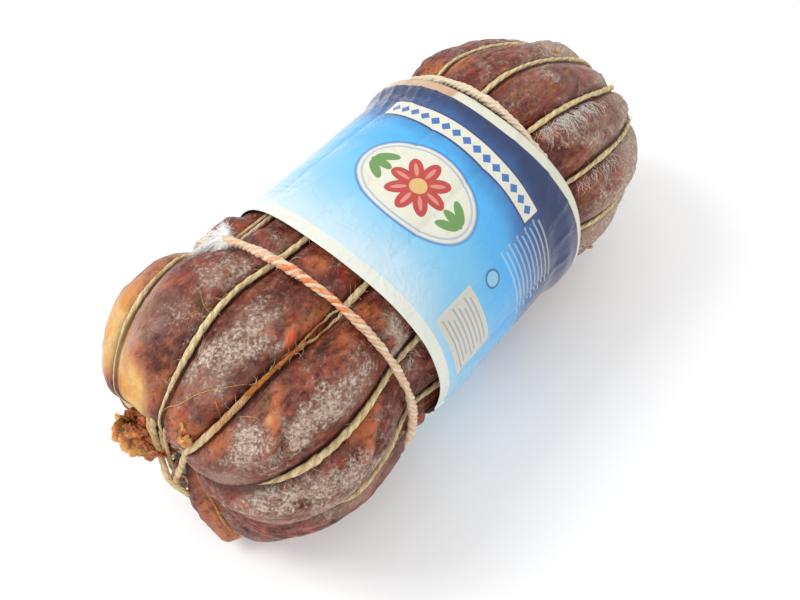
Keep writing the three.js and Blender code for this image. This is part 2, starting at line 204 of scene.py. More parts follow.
def near_tie_x(angle):
    turned = angle - np.radians(150)
    return NEAR_TIE_X + 3 * np.cos(turned) + 1.2 * np.cos(2 * turned)


def far_tie_x(angle):
    return FAR_TIE_X + 2.5 * np.cos(angle - np.radians(40))


def tie_shift(x, angle):
    near = (near_tie_x(angle) - NEAR_TIE_X) * bell((x - NEAR_TIE_X) / 16)
    far = (far_tie_x(angle) - FAR_TIE_X) * bell((x - FAR_TIE_X) / 16)
    return near + far


def middle_at(x, r):
    """Where the middle line runs: aside at the far end, and off the axis at both poles."""
    fade = np.clip(1 - r / CAP_RADIUS, 0, 1) ** 1.5
    bend = FAR_BEND * np.clip((x - 36) / 72, 0, 1) ** 1.4
    return np.where(x < 0, POLES[0, 1] * fade, bend), np.where(x < 0, POLES[0, 2], POLES[1, 2]) * fade


def end_shape(x, r, degrees):
    """How far the gathered half stands out or in of the round profile."""

    def side(centre, spread):
        return bell(turn_from(centre, degrees) / spread)

    end = smooth(-x, 60, 75)
    pinch = -3.5 * side(185, 38) * bell((x + 52) / 14)
    slack = -4.5 * side(222, 26) * bell((x + 80) / 26) * smooth(-x, 58, 72)
    full = 6.5 * side(250, 32) * bell((r - 37) / 11) * smooth(r, 8, 26) * end
    flat = -1.2 * side(40, 40) * bell((r - 36) / 12) * end
    hollow = -3.5 * side(35, 45) * bell((r - 18) / 10)
    raised = 5 * side(55, 15) * smooth(-x, 57, 72) * smooth(r, 20, 34)
    return np.where(x > -10, 0, pinch + slack + full + flat + hollow + raised)


def skin(s, degrees, height):
    """Points of the skin, height above the valleys' level."""
    x, r, nx, nr = profile_at(s)
    angle = np.radians(degrees)
    out = height + end_shape(x, r, degrees)
    drawn = np.where(x < -70, 5 * bell((r - 42) / 9) * bell(turn_from(252, degrees) / 14), 0)
    return on_tube(x + tie_shift(x, angle) + nx * out - drawn, r + nr * out, angle, middle_at(x, r))


def room_below(x, arch):
    """The room that twine, ties and sleeve need between the skin and the floor."""

    def at_tie(tie_x):
        return np.exp(-(((x - tie_x) / 6) ** 4))

    twine = (TWINE_DIAMETER + GAP + 0.15) * (1 - smooth(arch, 0, 0.85))
    return twine + NEAR_TIE_ROOM * at_tie(NEAR_TIE_X) + FAR_TIE_ROOM * at_tie(FAR_TIE_X)


def settle(points, room):
    """Keeps points above the floor by that room."""
    points[..., 2] = np.maximum(points[..., 2], room - AXIS_HEIGHT)
    return points


def under_sleeve(x):
    near = smooth(x, LABEL_NEAR_X - 8, LABEL_NEAR_X - 2)
    return near * smooth(-x, -LABEL_FAR_X - 2, -LABEL_FAR_X + 4)


def lobe_height(lobe, x, r, width, step, degrees):
    """How far a lobe swells out at x, round from one bed (0) to the next (1)."""
    arch = arched(step, LOBE_ROUNDNESS)
    swell = RUNS[lobe, 4] + (RUNS[lobe, 5] - RUNS[lobe, 4]) * smooth(x, -20, 20)
    uneven = 0.7 * np.sin(x / 13 + 3 * lobe) + 0.5 * np.sin(x / 7.5 + 5 * lobe + 4 * step)
    height = arch * smooth(r, 6, 18) * (width * swell + uneven)
    lowered = soft_lower(height, (LOBE_UNDER_LABEL - r) * arch, 0.25)
    height = height + under_sleeve(x) * (lowered - height)
    for tie_x in (NEAR_TIE_X, FAR_TIE_X):
        pressed = (TWINE_DIAMETER + 0.4 + 0.09 * (x - tie_x) ** 2) * arch**0.35
        height = soft_lower(height, pressed, 0.3)
    height = np.maximum(height, 0)
    away = np.sqrt(((r - 37) / 4.5) ** 2 + (turn_from(250, degrees) / 8) ** 2 + 0.2**2)
    return height + np.where(x < -70, 6.5 * np.exp(-away) * arch, 0)


def link_bed(x):
    """Beside the first run the bed is wider, for the link that leaves the near tie."""
    return (TIE_DIAMETER + 0.8) * smooth(x, NEAR_TIE_X - 6, NEAR_TIE_X) * smooth(-x, 26, 32)


def add_object(name, data):
    made = bpy.data.objects.new(name, data)
    bpy.context.scene.collection.objects.link(made)
    return made


def add_piece(name, part, material, node):
    """A piece of points in millimetres about the axis, faces and values; it stands for that node."""
    points, faces, values = part
    mesh = bpy.data.meshes.new(name)
    mesh.from_pydata(((np.asarray(points) - ORIGIN) * MM).tolist(), [], faces)
    for key, numbers in values.items():
        attribute = mesh.attributes.new(key, "FLOAT", "POINT")
        attribute.data.foreach_set("value", np.asarray(numbers, np.float32).ravel())
    mesh.polygons.foreach_set("use_smooth", np.ones(len(mesh.polygons), bool))
    mesh.materials.append(material)
    mesh.validate()
    mesh.update()
    piece = add_object(name, mesh)
    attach(piece, "root")
    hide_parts(node)


def flipped(faces):
    return [tuple(reversed(face)) for face in faces]


def grid_faces(rows, columns, closed_rows=False):
    """Quads of a grid whose rows are closed loops; closed_rows joins the last row to the first."""
    faces = []
    for i in range(rows if closed_rows else rows - 1):
        a, b = i * columns, ((i + 1) % rows) * columns
        faces += [(a + j, a + (j + 1) % columns, b + (j + 1) % columns, b + j) for j in range(columns)]
    return faces


def fan(row_start, columns, hub, outwards):
    pairs = [(row_start + j, row_start + (j + 1) % columns) for j in range(columns)]
    return [(hub, b, a) if outwards else (hub, a, b) for a, b in pairs]


def tube(points, hubs, values, **at_hubs):
    """A part from rows of points round a tube, shut at both ends by fans about its two hubs."""
    rows, columns = points.shape[:2]
    hub = rows * columns
    ends = fan(0, columns, hub, True) + fan(hub - columns, columns, hub + 1, False)
    vertices = np.concatenate([points.reshape(-1, 3), hubs])
    values = {key: np.append(value, at_hubs.get(key, [0, 0])) for key, value in values.items()}
    return vertices, flipped(grid_faces(rows, columns) + ends), values


def join(parts):
    """Several lots of vertices, faces and values as one."""
    vertices, faces, values, first = [], [], {}, 0
    for part_vertices, part_faces, part_values in parts:
        vertices.append(part_vertices)
        faces += [tuple(first + i for i in face) for face in part_faces]
        for key, value in part_values.items():
            values.setdefault(key, []).append(value)
        first += len(part_vertices)
    return np.concatenate(vertices), faces, {key: np.concatenate(value) for key, value in values.items()}


class Shader:
    """A material's nodes, built with few words, and the colour laid on so far."""

    def __init__(self, name):
        self.material = bpy.data.materials.new(name)
        self.material.use_nodes = True
        self.tree = self.material.node_tree
        self.tree.nodes.clear()
        output = self.node("ShaderNodeOutputMaterial")
        self.surface = self.node("ShaderNodeBsdfPrincipled")
        self.put(output.inputs[0], self.surface.outputs[0])
        self.place = self.node("ShaderNodeTexCoord").outputs["Object"]
        self.colour = None

    def put(self, socket, value):
        if isinstance(value, bpy.types.NodeSocket):
            self.tree.links.new(value, socket)
        elif isinstance(value, tuple) and len(value) == 3 and socket.type == "RGBA":
            socket.default_value = (*value, 1)
        else:
            socket.default_value = value

    def set(self, **values):
        for key, value in values.items():
            self.put(self.surface.inputs[key.replace("_", " ")], value)

    def node(self, kind, options=None, **inputs):
        made = self.tree.nodes.new(kind)
        for key, value in (options or {}).items():
            setattr(made, key, value)
        for key, value in inputs.items():
            self.put(made.inputs[key.replace("_", " ")], value)
        return made

    def math(self, operation, a, b=0.0, c=0.0):
        made = self.node("ShaderNodeMath", {"operation": operation})
        for socket, value in zip(made.inputs, (a, b, c)):
            self.put(socket, value)
        return made.outputs[0]

    def times(self, a, b):
        return self.math("MULTIPLY", a, b)

    def plus(self, base, value, share=1.0):
        """The base with a share of the value added."""
        return self.math("MULTIPLY_ADD", value, share, base)

    def vector(self, operation, a, b=(0.0, 0.0, 0.0), output=0):
        made = self.node("ShaderNodeVectorMath", {"operation": operation})
        self.put(made.inputs[0], a)
        self.put(made.inputs[1], b)
        return made.outputs[output]

    def stretched(self, x, y, z):
        return self.vector("MULTIPLY", self.place, (x, y, z))

    def noise(self, size_mm, detail=3.0, roughness=0.55, source=None, distortion=0.0):
        """Noise from 0 to 1 with features of about that size."""
        return self.node(
            "ShaderNodeTexNoise", Vector=source or self.place, Scale=1 / (size_mm * MM),
            Detail=detail, Roughness=roughness, Distortion=distortion,
        ).outputs[0]

    def cloud(self, size_mm, low, high, source=None, detail=4.0, roughness=0.6):
        """Soft patches of about that size, from 0 to 1."""
        return self.ramp(self.noise(size_mm, detail, roughness, source), low, high)

    def spots(self, size_mm, radius, edge, share):
        """Round spots, 1 inside, in the given share of cells of that size."""
        made = self.node("ShaderNodeTexVoronoi", Vector=self.place, Scale=1 / (size_mm * MM))
        inside = self.ramp(made.outputs["Distance"], radius + edge, radius - edge)
        chosen = self.node("ShaderNodeSeparateColor", Color=made.outputs["Color"]).outputs[0]
        return self.times(inside, self.math("LESS_THAN", chosen, share))

    def ridges(self, size_mm, sharpness, source=None):
        """Thin branching lines, 1 on the line, about that far apart."""
        swing = self.plus(-1.0, self.noise(size_mm, 2.0, 0.5, source, 0.4), 2.0)
        return self.math("POWER", self.math("SUBTRACT", 1.0, self.math("ABSOLUTE", swing)), sharpness)

    def ramp(self, value, low, high):
        """0 at low, 1 at high, with a soft change between; low may be above high."""
        made = self.node("ShaderNodeMapRange", {"interpolation_type": "SMOOTHSTEP"}, Value=value)
        made.inputs["From Min"].default_value = low
        made.inputs["From Max"].default_value = high
        return made.outputs[0]

    def mix(self, share, a, b):
        made = self.node("ShaderNodeMix", {"data_type": "RGBA"})
        for index, value in ((0, share), (6, a), (7, b)):
            self.put(made.inputs[index], value)
        return made.outputs[2]

    def lay(self, mask, colour, strength=1.0):
        """Covers the colour so far where the mask is 1."""
        if strength < 1:
            mask = self.times(mask, strength)
        self.colour = self.mix(mask, self.colour, colour)

    def attribute(self, name):
        return self.node("ShaderNodeAttribute", {"attribute_name": name}).outputs["Fac"]

    def bump(self, height, depth_mm):
        return self.node("ShaderNodeBump", Height=height, Distance=depth_mm * MM).outputs[0]


def srgb(red, green, blue):
    """A colour written as it shows, from 0 to 255, as the shader needs it."""
    c = np.array([red, green, blue]) / 255
    return tuple(float(v) for v in np.where(c <= 0.04045, c / 12.92, ((c + 0.055) / 1.055) ** 2.4))


SURFACE_SHARE = 0.8


def lit(red, green, blue):
    """A colour as it shows in this light, brought down to what the surface itself has."""
    return tuple(v * SURFACE_SHARE for v in srgb(red, green, blue))


# Camera, light and floor
CAMERA_PLACE = (-0.13014, -0.10634, 0.27980)
CAMERA_AZIMUTH = -50.212
CAMERA_ELEVATION = 57.729
CAMERA_LENS = 33.905
WORLD_STRENGTH = 1.0
LIT_PLACE = (0, 0, 0.05)
# Each lamp: its name, place and size in metres, and power
LIGHTS = [("key", (-0.30, 0.40, 0.62), 0.34, 2.4), ("fill", (-0.6, -0.3, 0.5), 0.5, 0.6)]
FLOOR_COLOUR = (0.92, 0.92, 0.922)
FLOOR_REACH = 3.0


def make_camera():
    azimuth, elevation = np.radians(CAMERA_AZIMUTH), np.radians(CAMERA_ELEVATION)
    flat = np.cos(elevation)
    back = Vector((np.sin(azimuth) * flat, -np.cos(azimuth) * flat, np.sin(elevation)))
    right = Vector((np.cos(azimuth), np.sin(azimuth), 0))
    turned = Matrix((right, back.cross(right), back)).transposed().to_4x4()
    data = bpy.data.cameras.new("camera")
    data.lens = CAMERA_LENS
    data.clip_start = 0.01
    camera = add_object("camera", data)
    camera.matrix_world = Matrix.Translation(CAMERA_PLACE) @ turned
    bpy.context.scene.camera = camera


def area_light(name, place, size, power):
    data = bpy.data.lights.new(name, "AREA")
    data.shape = "DISK"
    data.size, data.energy = size, power
    light = add_object(name, data)
    light.location = place
    light.rotation_euler = (Vector(place) - Vector(LIT_PLACE)).to_track_quat("Z", "Y").to_euler()


def make_light():
    world = bpy.data.worlds.new("studio")
    world.use_nodes = True
    world.node_tree.nodes["Background"].inputs[0].default_value = (1, 1, 1, 1)
    world.node_tree.nodes["Background"].inputs[1].default_value = WORLD_STRENGTH
    bpy.context.scene.world = world
    for name, place, size, power in LIGHTS:
        area_light(name, place, size, power)
    bpy.context.scene.view_settings.view_transform = "Standard"


def make_floor():
    shader = Shader("floor")
    shader.set(Base_Color=FLOOR_COLOUR, Roughness=0.9, Specular_IOR_Level=0.1)
    mesh = bpy.data.meshes.new("floor")
    corners = [(x * FLOOR_REACH, y * FLOOR_REACH, 0) for x, y in ((-1, -1), (1, -1), (1, 1), (-1, 1))]
    mesh.from_pydata(corners, [], [(0, 1, 2, 3)])
    mesh.materials.append(shader.material)
    floor = add_object("floor", mesh)


# The skin
TOP_COLUMNS = 40
UNDER_COLUMNS = 18
UNDER_LOBES = (5, 6, 7, 8, 9, 10)
BED_COLUMNS = 3
BED_HOLLOW = 0.35
# Inside this radius, close to the poles, the beds get no wider and no run of twine lies on them
LEAST_BED_RADIUS = 8
SKIN_STEP = 0.64
HIDDEN_STEP = 4.0
UNROLLED_RADIUS = 47.0
POLE_MARGIN = 1.2


def covered(x):
    """Well under the sleeve, where nothing shows."""
    return (x > LABEL_NEAR_X + 9) & (x < LABEL_FAR_X - 13)


def skin_stations(far):
    """Stations along one half of the profile, close together where the skin shows."""
    stations, distance = [], POLE_MARGIN
    while distance < PROFILE_LENGTH - POLE_MARGIN:
        stations.append(distance / PROFILE_LENGTH)
        distance += HIDDEN_STEP if covered(profile_at(stations[-1])[0]) else SKIN_STEP
    stations = np.array(stations)
    x = profile_at(stations)[0]
    middle = int(np.argmin(np.abs(x)))
    return stations[middle:] if far else stations[:middle + 1]


def bed_of(lobe, x, r):
    """Half the angle of the beds beside a lobe, and the link's share at its start."""
    start, end = run_angle(lobe, x), run_angle(lobe + 1, x)
    bed = np.minimum(np.degrees(BED_HALF_WIDTH / np.maximum(r, LEAST_BED_RADIUS)), 0.45 * (end - start))
    link = np.degrees(link_bed(x) / np.maximum(r, LEAST_BED_RADIUS))
    aside = np.where(np.asarray(lobe) % RUN_COUNT == 0, link, 0)
    return start, end, bed, aside


def skin_columns(x, r):
    """For every column of the skin: its lobe, its step across it, its angle and its bed share."""
    columns = []
    for lobe in range(RUN_COUNT):
        start, end, bed, aside = bed_of(lobe, x, r)
        low, high = start + bed + aside, end - bed
        for step in np.linspace(0, 1, UNDER_COLUMNS if lobe in UNDER_LOBES else TOP_COLUMNS):
            eased = step - 0.12 * np.sin(2 * np.pi * step) / (2 * np.pi)
            columns.append((lobe, eased, low + (high - low) * eased, 0.0))
        next_aside = bed_of(lobe + 1, x, r)[3]
        for share in np.arange(1, BED_COLUMNS + 1) / (BED_COLUMNS + 1):
            columns.append((lobe, 1.0, high + (2 * bed + next_aside) * share, np.sin(np.pi * share)))
    return [np.concatenate([np.broadcast_to(v, x.shape) for v in part], 1) for part in zip(*columns)]


# Lumps of the skin: height, size along and round, and seed
LUMPS = [(0.6, 15, 1), (0.34, 6.5, 2), (0.14, 2.6, 3), (0.16, (3.4, 2.0, 2.0), 15)]


def flat_place(s, degrees):
    """The skin laid out as a tube: along the profile, and round at a fixed radius."""
    return on_tube(s * PROFILE_LENGTH, UNROLLED_RADIUS, np.radians(degrees))


# Welts and creases of the casing, each a line on the skin from (x, angle) to (x, angle), then its
# width, its height in millimetres and how much it is coloured: amber above 0, painted shade below 0
FOLDS = [
    ((-67.0, 108.6), (-76.0, 111.6), 1.5, 2.4, 1.7),
    ((-61, 119), (-71, 119), 1.1, -1.1, -0.9),
    ((-63, 124), (-68, 121), 0.9, -0.7, -0.7),
    ((-80, 117), (-87.5, 123.5), 1.7, 1.2, 0.85),
    ((-87.5, 123.5), (-94, 132), 2.0, 1.4, 0.95),
    ((-88, 127), (-92, 138), 1.6, -0.9, -0.2),
    ((-84, 126), (-92, 136), 1.2, -0.8, -0.6),
    ((-60, 146), (-69, 150.5), 1.9, 1.0, 0.8),
    ((-69, 150.5), (-80, 159), 2.2, 1.3, 1.0),
    ((-67, 155), (-76, 162), 1.0, -0.9, -0.8),
    ((-72, 166), (-84, 170), 1.4, -0.9, -0.6),
    ((-101, 116), (-95, 119), 2.4, 0.7, 0.5),
    ((-104, 150), (-98, 151), 1.0, -0.9, -0.8),
    ((-105, 157), (-97, 158), 1.2, 1.0, 0.3),
    ((-105, 163), (-95, 164), 1.0, -1.0, -0.8),
    ((-105, 169), (-96, 171), 1.2, 0.9, 0.4),
    ((-58, 88), (-66, 92), 1.2, -0.5, -0.4),
    ((-50, 90), (-43, 96), 1.6, 0.5, 0.5),
    ((-52, 128), (-44, 121), 1.5, 0.5, 0.5),
    ((50, 103), (60, 110), 1.6, -0.6, -0.4),
    ((56, 84), (66, 92), 1.4, 0.6, 0.4),
    ((62, 118), (72, 126), 1.3, -0.6, -0.4),
    ((48, 126), (58, 139), 1.4, 0.5, 0.3),
    ((70, 132), (80, 138), 1.5, -0.7, -0.3),
]


def ridge_line(x, degrees, start, end, breadth, power):
    """1 along a line on the skin, fading to both sides over that breadth and towards its ends."""
    scale = np.radians(1) * UNROLLED_RADIUS
    a = np.array([start[0], 0.0])
    b = np.array([end[0], (end[1] - start[1]) * scale])
    p = np.stack(np.broadcast_arrays(x, turn_from(start[1], degrees) * scale), axis=-1)
    t = np.clip((p - a) @ (b - a) / ((b - a) @ (b - a)), 0, 1)
    away = np.linalg.norm(p - a - t[..., None] * (b - a), axis=-1)
    return bell(away / breadth) * arched(np.clip(t, 0.1, 0.9), power)


def folds(s, x, degrees):
    """The height of the welts and creases, and their colouring: amber on the welts, painted shade in the
    creases.
    """
    bend = 1.6 * lattice_noise(flat_place(s, degrees), 7, 31)
    height = tone = 0
    for start, end, breadth, rise, colour in FOLDS:
        line = ridge_line(x + bend, degrees + bend, start, end, breadth, 0.6)
        height, tone = height + rise * line, tone + colour * line
    return height, tone


def wrinkles(place):
    """Drying wrinkles: sharp creases in two sizes, lengthwise, below the level."""
    wide = lattice_noise(place + 3 * lattice_noise(place, 14, 4)[..., None], (11, 3.1, 3.1), 5)
    fine = lattice_noise(place + 1.2 * lattice_noise(place, 5, 14)[..., None], (5.5, 1.7, 1.7), 6)
    return -0.62 * (1 - np.abs(wide)) ** 7 - 0.32 * (1 - np.abs(fine)) ** 5


def puckers(place, x, r, degrees, from_twine):
    """Short waves beside the twine, at the ties and round the gathered ends."""
    wave = np.sin(2 * np.pi * (x + 2.5 * lattice_noise(place, 9, 7)) / 4.1)
    pleats = np.sin(np.radians(degrees) * 62 + 2.2 * lattice_noise(place, 8, 8))
    ties = sum(np.exp(-np.maximum(np.abs(x - tie_x) - 2, 0) / 6) for tie_x in (NEAR_TIE_X, FAR_TIE_X))
    gather = np.sin(np.radians(degrees) * 34 + 3 * lattice_noise(place, 12, 9))
    ends = bell((r - 10) / 12) * smooth(r, 3, 9)
    return 0.24 * wave * np.exp(-from_twine / 2.6) + 0.26 * pleats * ties + 0.7 * gather * ends


def relief(s, x, r, degrees, step, width):
    """The skin's own unevenness: lumps, wrinkles, puckers, folds and broad bulges."""
    place = flat_place(s, degrees)
    total = wrinkles(place) + puckers(place, x, r, degrees, np.minimum(step, 1 - step) * width)
    for height, size, seed in LUMPS:
        total = total + height * lattice_noise(place, size, seed)
    total = total + 5.2 * bell((r - 25) / 9) * bell(turn_from(275, degrees) / 26) * smooth(-x, 85, 100)
    total = total + 1.3 * bell((x + 48) / 4.5) * bell(turn_from(189, degrees) / 10)
    arch = arched(step, 0.6)
    total = (total * arch + folds(s, x, degrees)[0] * arched(step, 0.25)) * (1 - under_sleeve(x))
    squeezed = smooth(-x, 39.5, 43.8) * smooth(x, -57, -51.5)
    return total + 3.4 * squeezed * bell(turn_from(37, degrees) / 12) * arch


def skin_at(s, lobe, step, degrees, lift):
    """Points of the finished skin in a lobe, lift above it, and the lobe's width there."""
    x, r, _, _ = profile_at(s)
    start, end, bed, _ = bed_of(lobe, x, r)
    width = r * np.radians(end - start - 2 * bed)
    height = lobe_height(lobe, x, r, width, step, degrees) + relief(s, x, r, degrees, step, width)
    points = skin(s, degrees, height + lift)
    return settle(points, room_below(x, arched(step, LOBE_ROUNDNESS))), width


def surface_at(s, degrees, lift=0.0):
    """Points of the finished skin at any station and angle, lift above it."""
    s, degrees = np.broadcast_arrays(np.asarray(s, float), np.asarray(degrees, float))
    x, r, _, _ = profile_at(s)
    starts = np.stack([run_angle(k, x) for k in range(RUN_COUNT)], -1)
    lobe = np.argmin((degrees[..., None] - starts) % 360, axis=-1)
    start, end, bed, aside = bed_of(lobe, x, r)
    low, high = start + bed + aside, end - bed
    turned = start + (degrees - start) % 360
    step = np.clip((turned - low) / (high - low), 0, 1)
    return skin_at(s, lobe, step, degrees, lift)[0]


# Patches of the skin's colouring, each (x, angle, reach along, reach round, strength)
FAT_PATCHES = [
    (-98, 42, 10, 9, 1.0), (-87, 36, 8, 8, 0.6), (-105, 72, 5, 9, 1.1), (-97, 58, 7, 9, 0.9),
    (-102, 70, 5, 8, 0.6), (-88, 53, 7, 6, 0.6), (-80, 49, 7, 5, 0.35), (-87.5, 123.5, 2.4, 2.0, 0.95),
    (-104, 250, 6, 6, 0.4), (-106, 112, 3, 9, 0.35), (-109, 46, 3.6, 12, -0.9),
]
BLOOM_PATCHES = [
    (-67, 74, 7, 7, 0.6), (-80, 77, 9, 5, 0.55), (-60, 78, 6, 6, 0.5), (-72, 40, 8, 8, 0.6),
    (-78, 101, 5, 6, 0.75), (-71, 97, 6, 6, 0.5), (-84, 96, 7, 6, 0.5), (-74, 108, 5, 3, 0.4),
    (-92, 93, 7, 5, 0.55), (-88, 103, 6, 5, 0.45), (-72, 134, 7, 6, 0.75), (-79, 131, 6, 6, 0.8),
    (-86, 133, 5, 5, 0.8), (-63, 133, 7, 6, 0.45), (-94, 122, 5, 6, 0.95), (-98, 128, 5, 5, 0.8),
    (-96, 137, 6, 5, 0.6), (-96, 152, 6, 6, 0.75), (-88, 157, 7, 6, 0.75), (-79, 158, 7, 6, 0.7),
    (-103, 152, 4, 8, 0.6), (-70, 170, 8, 7, 0.9), (-90, 172, 9, 8, 0.95), (-46, 81, 5, 5, 0.6),
    (-47, 139, 5, 5, 1.3), (-45, 131, 4, 5, 0.9), (-48, 150, 5, 9, 0.5), (-50, 116, 4, 4, 0.3),
    (63, 103, 5, 5, 0.6), (70, 94, 8, 5, 0.55), (80, 88, 11, 9, 0.6), (60, 116, 7, 4, 0.6),
    (56, 128, 7, 6, 0.5), (66, 133, 8, 6, 0.55), (62, 145, 8, 6, 0.5), (92, 120, 9, 18, 1.0),
    (84, 150, 11, 16, 1.1), (70, 165, 13, 10, 0.9), (78, 190, 18, 18, 0.9), (54, 160, 7, 7, 0.5),
    (88, 84, 8, 16, 0.8), (52, 185, 9, 12, 0.6), (52, 80, 6, 6, 0.35), (76, 60, 10, 10, 0.4),
    (96, 60, 10, 26, 0.5),
]
AMBER_PATCHES = [
    (-66, 112, 5, 4, 0.6), (-100, 118, 5, 7, 0.7), (-104, 108, 4, 8, 0.8), (-70, 149, 7, 4, 1.0),
    (-48, 97, 5, 5, 0.8), (-49, 121, 5, 5, 0.8), (-60, 110, 6, 6, 0.5), (-62, 122, 6, 5, 0.5),
    (-88, 133, 4, 3, 0.5), (-78, 50, 14, 5, 0.9), (-84, 62, 10, 4, 0.6), (-100, 84, 6, 5, 0.8),
    (-95, 70, 6, 4, 0.5), (-104, 96, 4, 8, 0.6), (-72, 100, 12, 5, 0.3), (-44, 78, 4, 5, 0.5),
    (-92, 168, 7, 5, 0.5), (-103, 175, 5, 9, 0.6), (-104, 250, 8, 8, 0.8), (-70, 130, 7, 4, 0.35),
    (52, 66, 8, 9, 0.8), (54, 88, 6, 6, 0.6), (50, 119, 4, 5, 0.9), (60, 98, 9, 6, 0.5),
    (74, 103, 8, 4, 0.4), (58, 150, 8, 4, 0.4), (48, 52, 6, 6, 0.9),
]
# Mould haze, together with painted sheen that lightens the far lobes where they turn away
HAZE_AND_SHEEN_PATCHES = [
    (-84, 62, 9, 5, 0.8), (-88, 72, 7, 5, 0.4), (-95, 66, 5, 5, 0.5), (-78, 30, 12, 12, 0.5),
    (-92, 100, 8, 8, 0.45), (-104, 135, 6, 12, 0.5), (-104, 165, 6, 14, 0.45), (84, 158, 14, 16, 1.2),
    (66, 176, 18, 12, 1.0), (96, 110, 9, 22, 1.1), (88, 84, 10, 10, 0.9), (80, 200, 24, 24, 1.0),
    (94, 60, 9, 30, 0.8), (-80, 174, 18, 12, 0.7), (66, 120, 20, 40, 0.3), (58, 172, 8, 8, 0.5),
    (-75, 104, 12, 10, 0.3), (-76, 134, 14, 8, 0.3), (60, 60, 10, 8, 0.3),
]

SKIN_PATCHES = {
    "fat": FAT_PATCHES, "bloom": BLOOM_PATCHES, "amber": AMBER_PATCHES, "haze": HAZE_AND_SHEEN_PATCHES,
}


def patches(spots, x, degrees):
    total = np.zeros(np.broadcast(x, degrees).shape)
    for at_x, at_degrees, along, across, strength in spots:
        total += strength * bell((x - at_x) / along) * bell(turn_from(at_degrees, degrees) / across)
    return np.clip(total, 0, 1.2)


DARK_RED, WARM_BROWN, PURPLE = lit(92, 33, 26), lit(150, 70, 46), lit(114, 56, 50)
OLIVE, RED, PINK = lit(148, 98, 52), lit(180, 62, 36), lit(190, 110, 84)
AMBER, PALE_AMBER, PEACH = lit(198, 108, 56), lit(206, 128, 90), lit(214, 134, 92)
YELLOW_FAT, CREAM_FAT = lit(234, 160, 60), lit(240, 196, 124)
# The dark crease colour on this line is painted shade.
WELT, WELT_RED, CREASE_SHADE = lit(206, 112, 70), lit(252, 104, 52), lit(48, 18, 14)
# The bed colour on this line is painted shade.
# The colour for the thin wrinkle lines on this line is painted shade.
MOTTLE, WRINKLE_SHADE, GROOVE_SHADE, SPECK = lit(48, 16, 13), lit(52, 18, 14), lit(44, 18, 14), lit(244, 76, 34)
# The haze colour is pale mould haze and painted sheen.
HAZE_AND_SHEEN, VEIL = lit(200, 164, 146), lit(164, 126, 106)
THIN_BLOOM, FULL_BLOOM = lit(168, 138, 121), lit(234, 217, 200)


def skin_colour(shader, streak):
    """The casing's own colour, from red-brown to amber and yellow fat, with painted shade in the creases.
    """
    shifted = shader.vector("ADD", shader.place, (0.3, 0.1, 0.2))
    moved = shader.vector("SUBTRACT", shader.place, (0.5, 0.2, 0.3))
    broad = shader.noise(24, 4, 0.6, None, 0.3)
    shader.colour = shader.mix(shader.ramp(broad, 0.4, 0.6), DARK_RED, WARM_BROWN)
    shader.lay(shader.cloud(15, 0.42, 0.56, shifted), PURPLE, 0.78)
    shader.lay(shader.cloud(11, 0.52, 0.66, moved), OLIVE, 0.6)
    shader.lay(shader.cloud(7, 0.55, 0.67, moved, roughness=0.62), RED, 0.6)
    shader.lay(shader.cloud(8, 0.54, 0.68, shifted, roughness=0.62), PINK, 0.5)
    amber = shader.plus(shader.attribute("amber"), shader.noise(8, 4, 0.6, shifted), 0.9)
    shader.lay(shader.ramp(amber, 0.6, 1.25), AMBER, 0.85)
    fat = shader.plus(shader.attribute("fat"), shader.noise(6, 3, 0.5, streak), 0.3)
    shader.lay(shader.ramp(fat, 0.15, 0.75), PALE_AMBER, 0.85)
    yellow = shader.mix(shader.cloud(11, 0.4, 0.6, detail=2, roughness=0.5), YELLOW_FAT, CREAM_FAT)
    shader.lay(shader.ramp(fat, 0.5, 1.15), yellow, 0.95)
    tone = shader.attribute("tone")
    shader.lay(shader.ramp(tone, 0.1, 0.9), WELT)
    shader.lay(shader.ramp(tone, 0.8, 1.4), WELT_RED)
    # Painted shade along the creases, where the folds' colouring is below 0
    shader.lay(shader.ramp(tone, -0.1, -0.8), CREASE_SHADE, 0.8)


def skin_bloom(shader, flecks):
    """Mould on the skin: a brown veil with powder and flecks over it; gives the powder's mask."""
    moved = shader.vector("ADD", shader.place, (0.7, 0.4, 0.6))
    level = shader.plus(shader.times(shader.attribute("bloom"), 0.34), shader.noise(7, 4, 0.62), 0.62)
    level = shader.plus(level, shader.noise(3.0, 3, 0.65), 0.5)
    speckled = shader.plus(0.3, shader.cloud(9, 0.42, 0.58, moved, detail=3), 0.6)
    level = shader.math("ADD", level, shader.plus(0.28, shader.math("SUBTRACT", flecks, 0.5), speckled))
    shader.lay(shader.ramp(level, 0.79, 1.18), VEIL, 0.62)
    bloom = shader.ramp(level, 0.93, 1.23)
    shader.lay(bloom, shader.mix(shader.ramp(flecks, 0.36, 0.68), THIN_BLOOM, FULL_BLOOM), 0.84)
    return bloom


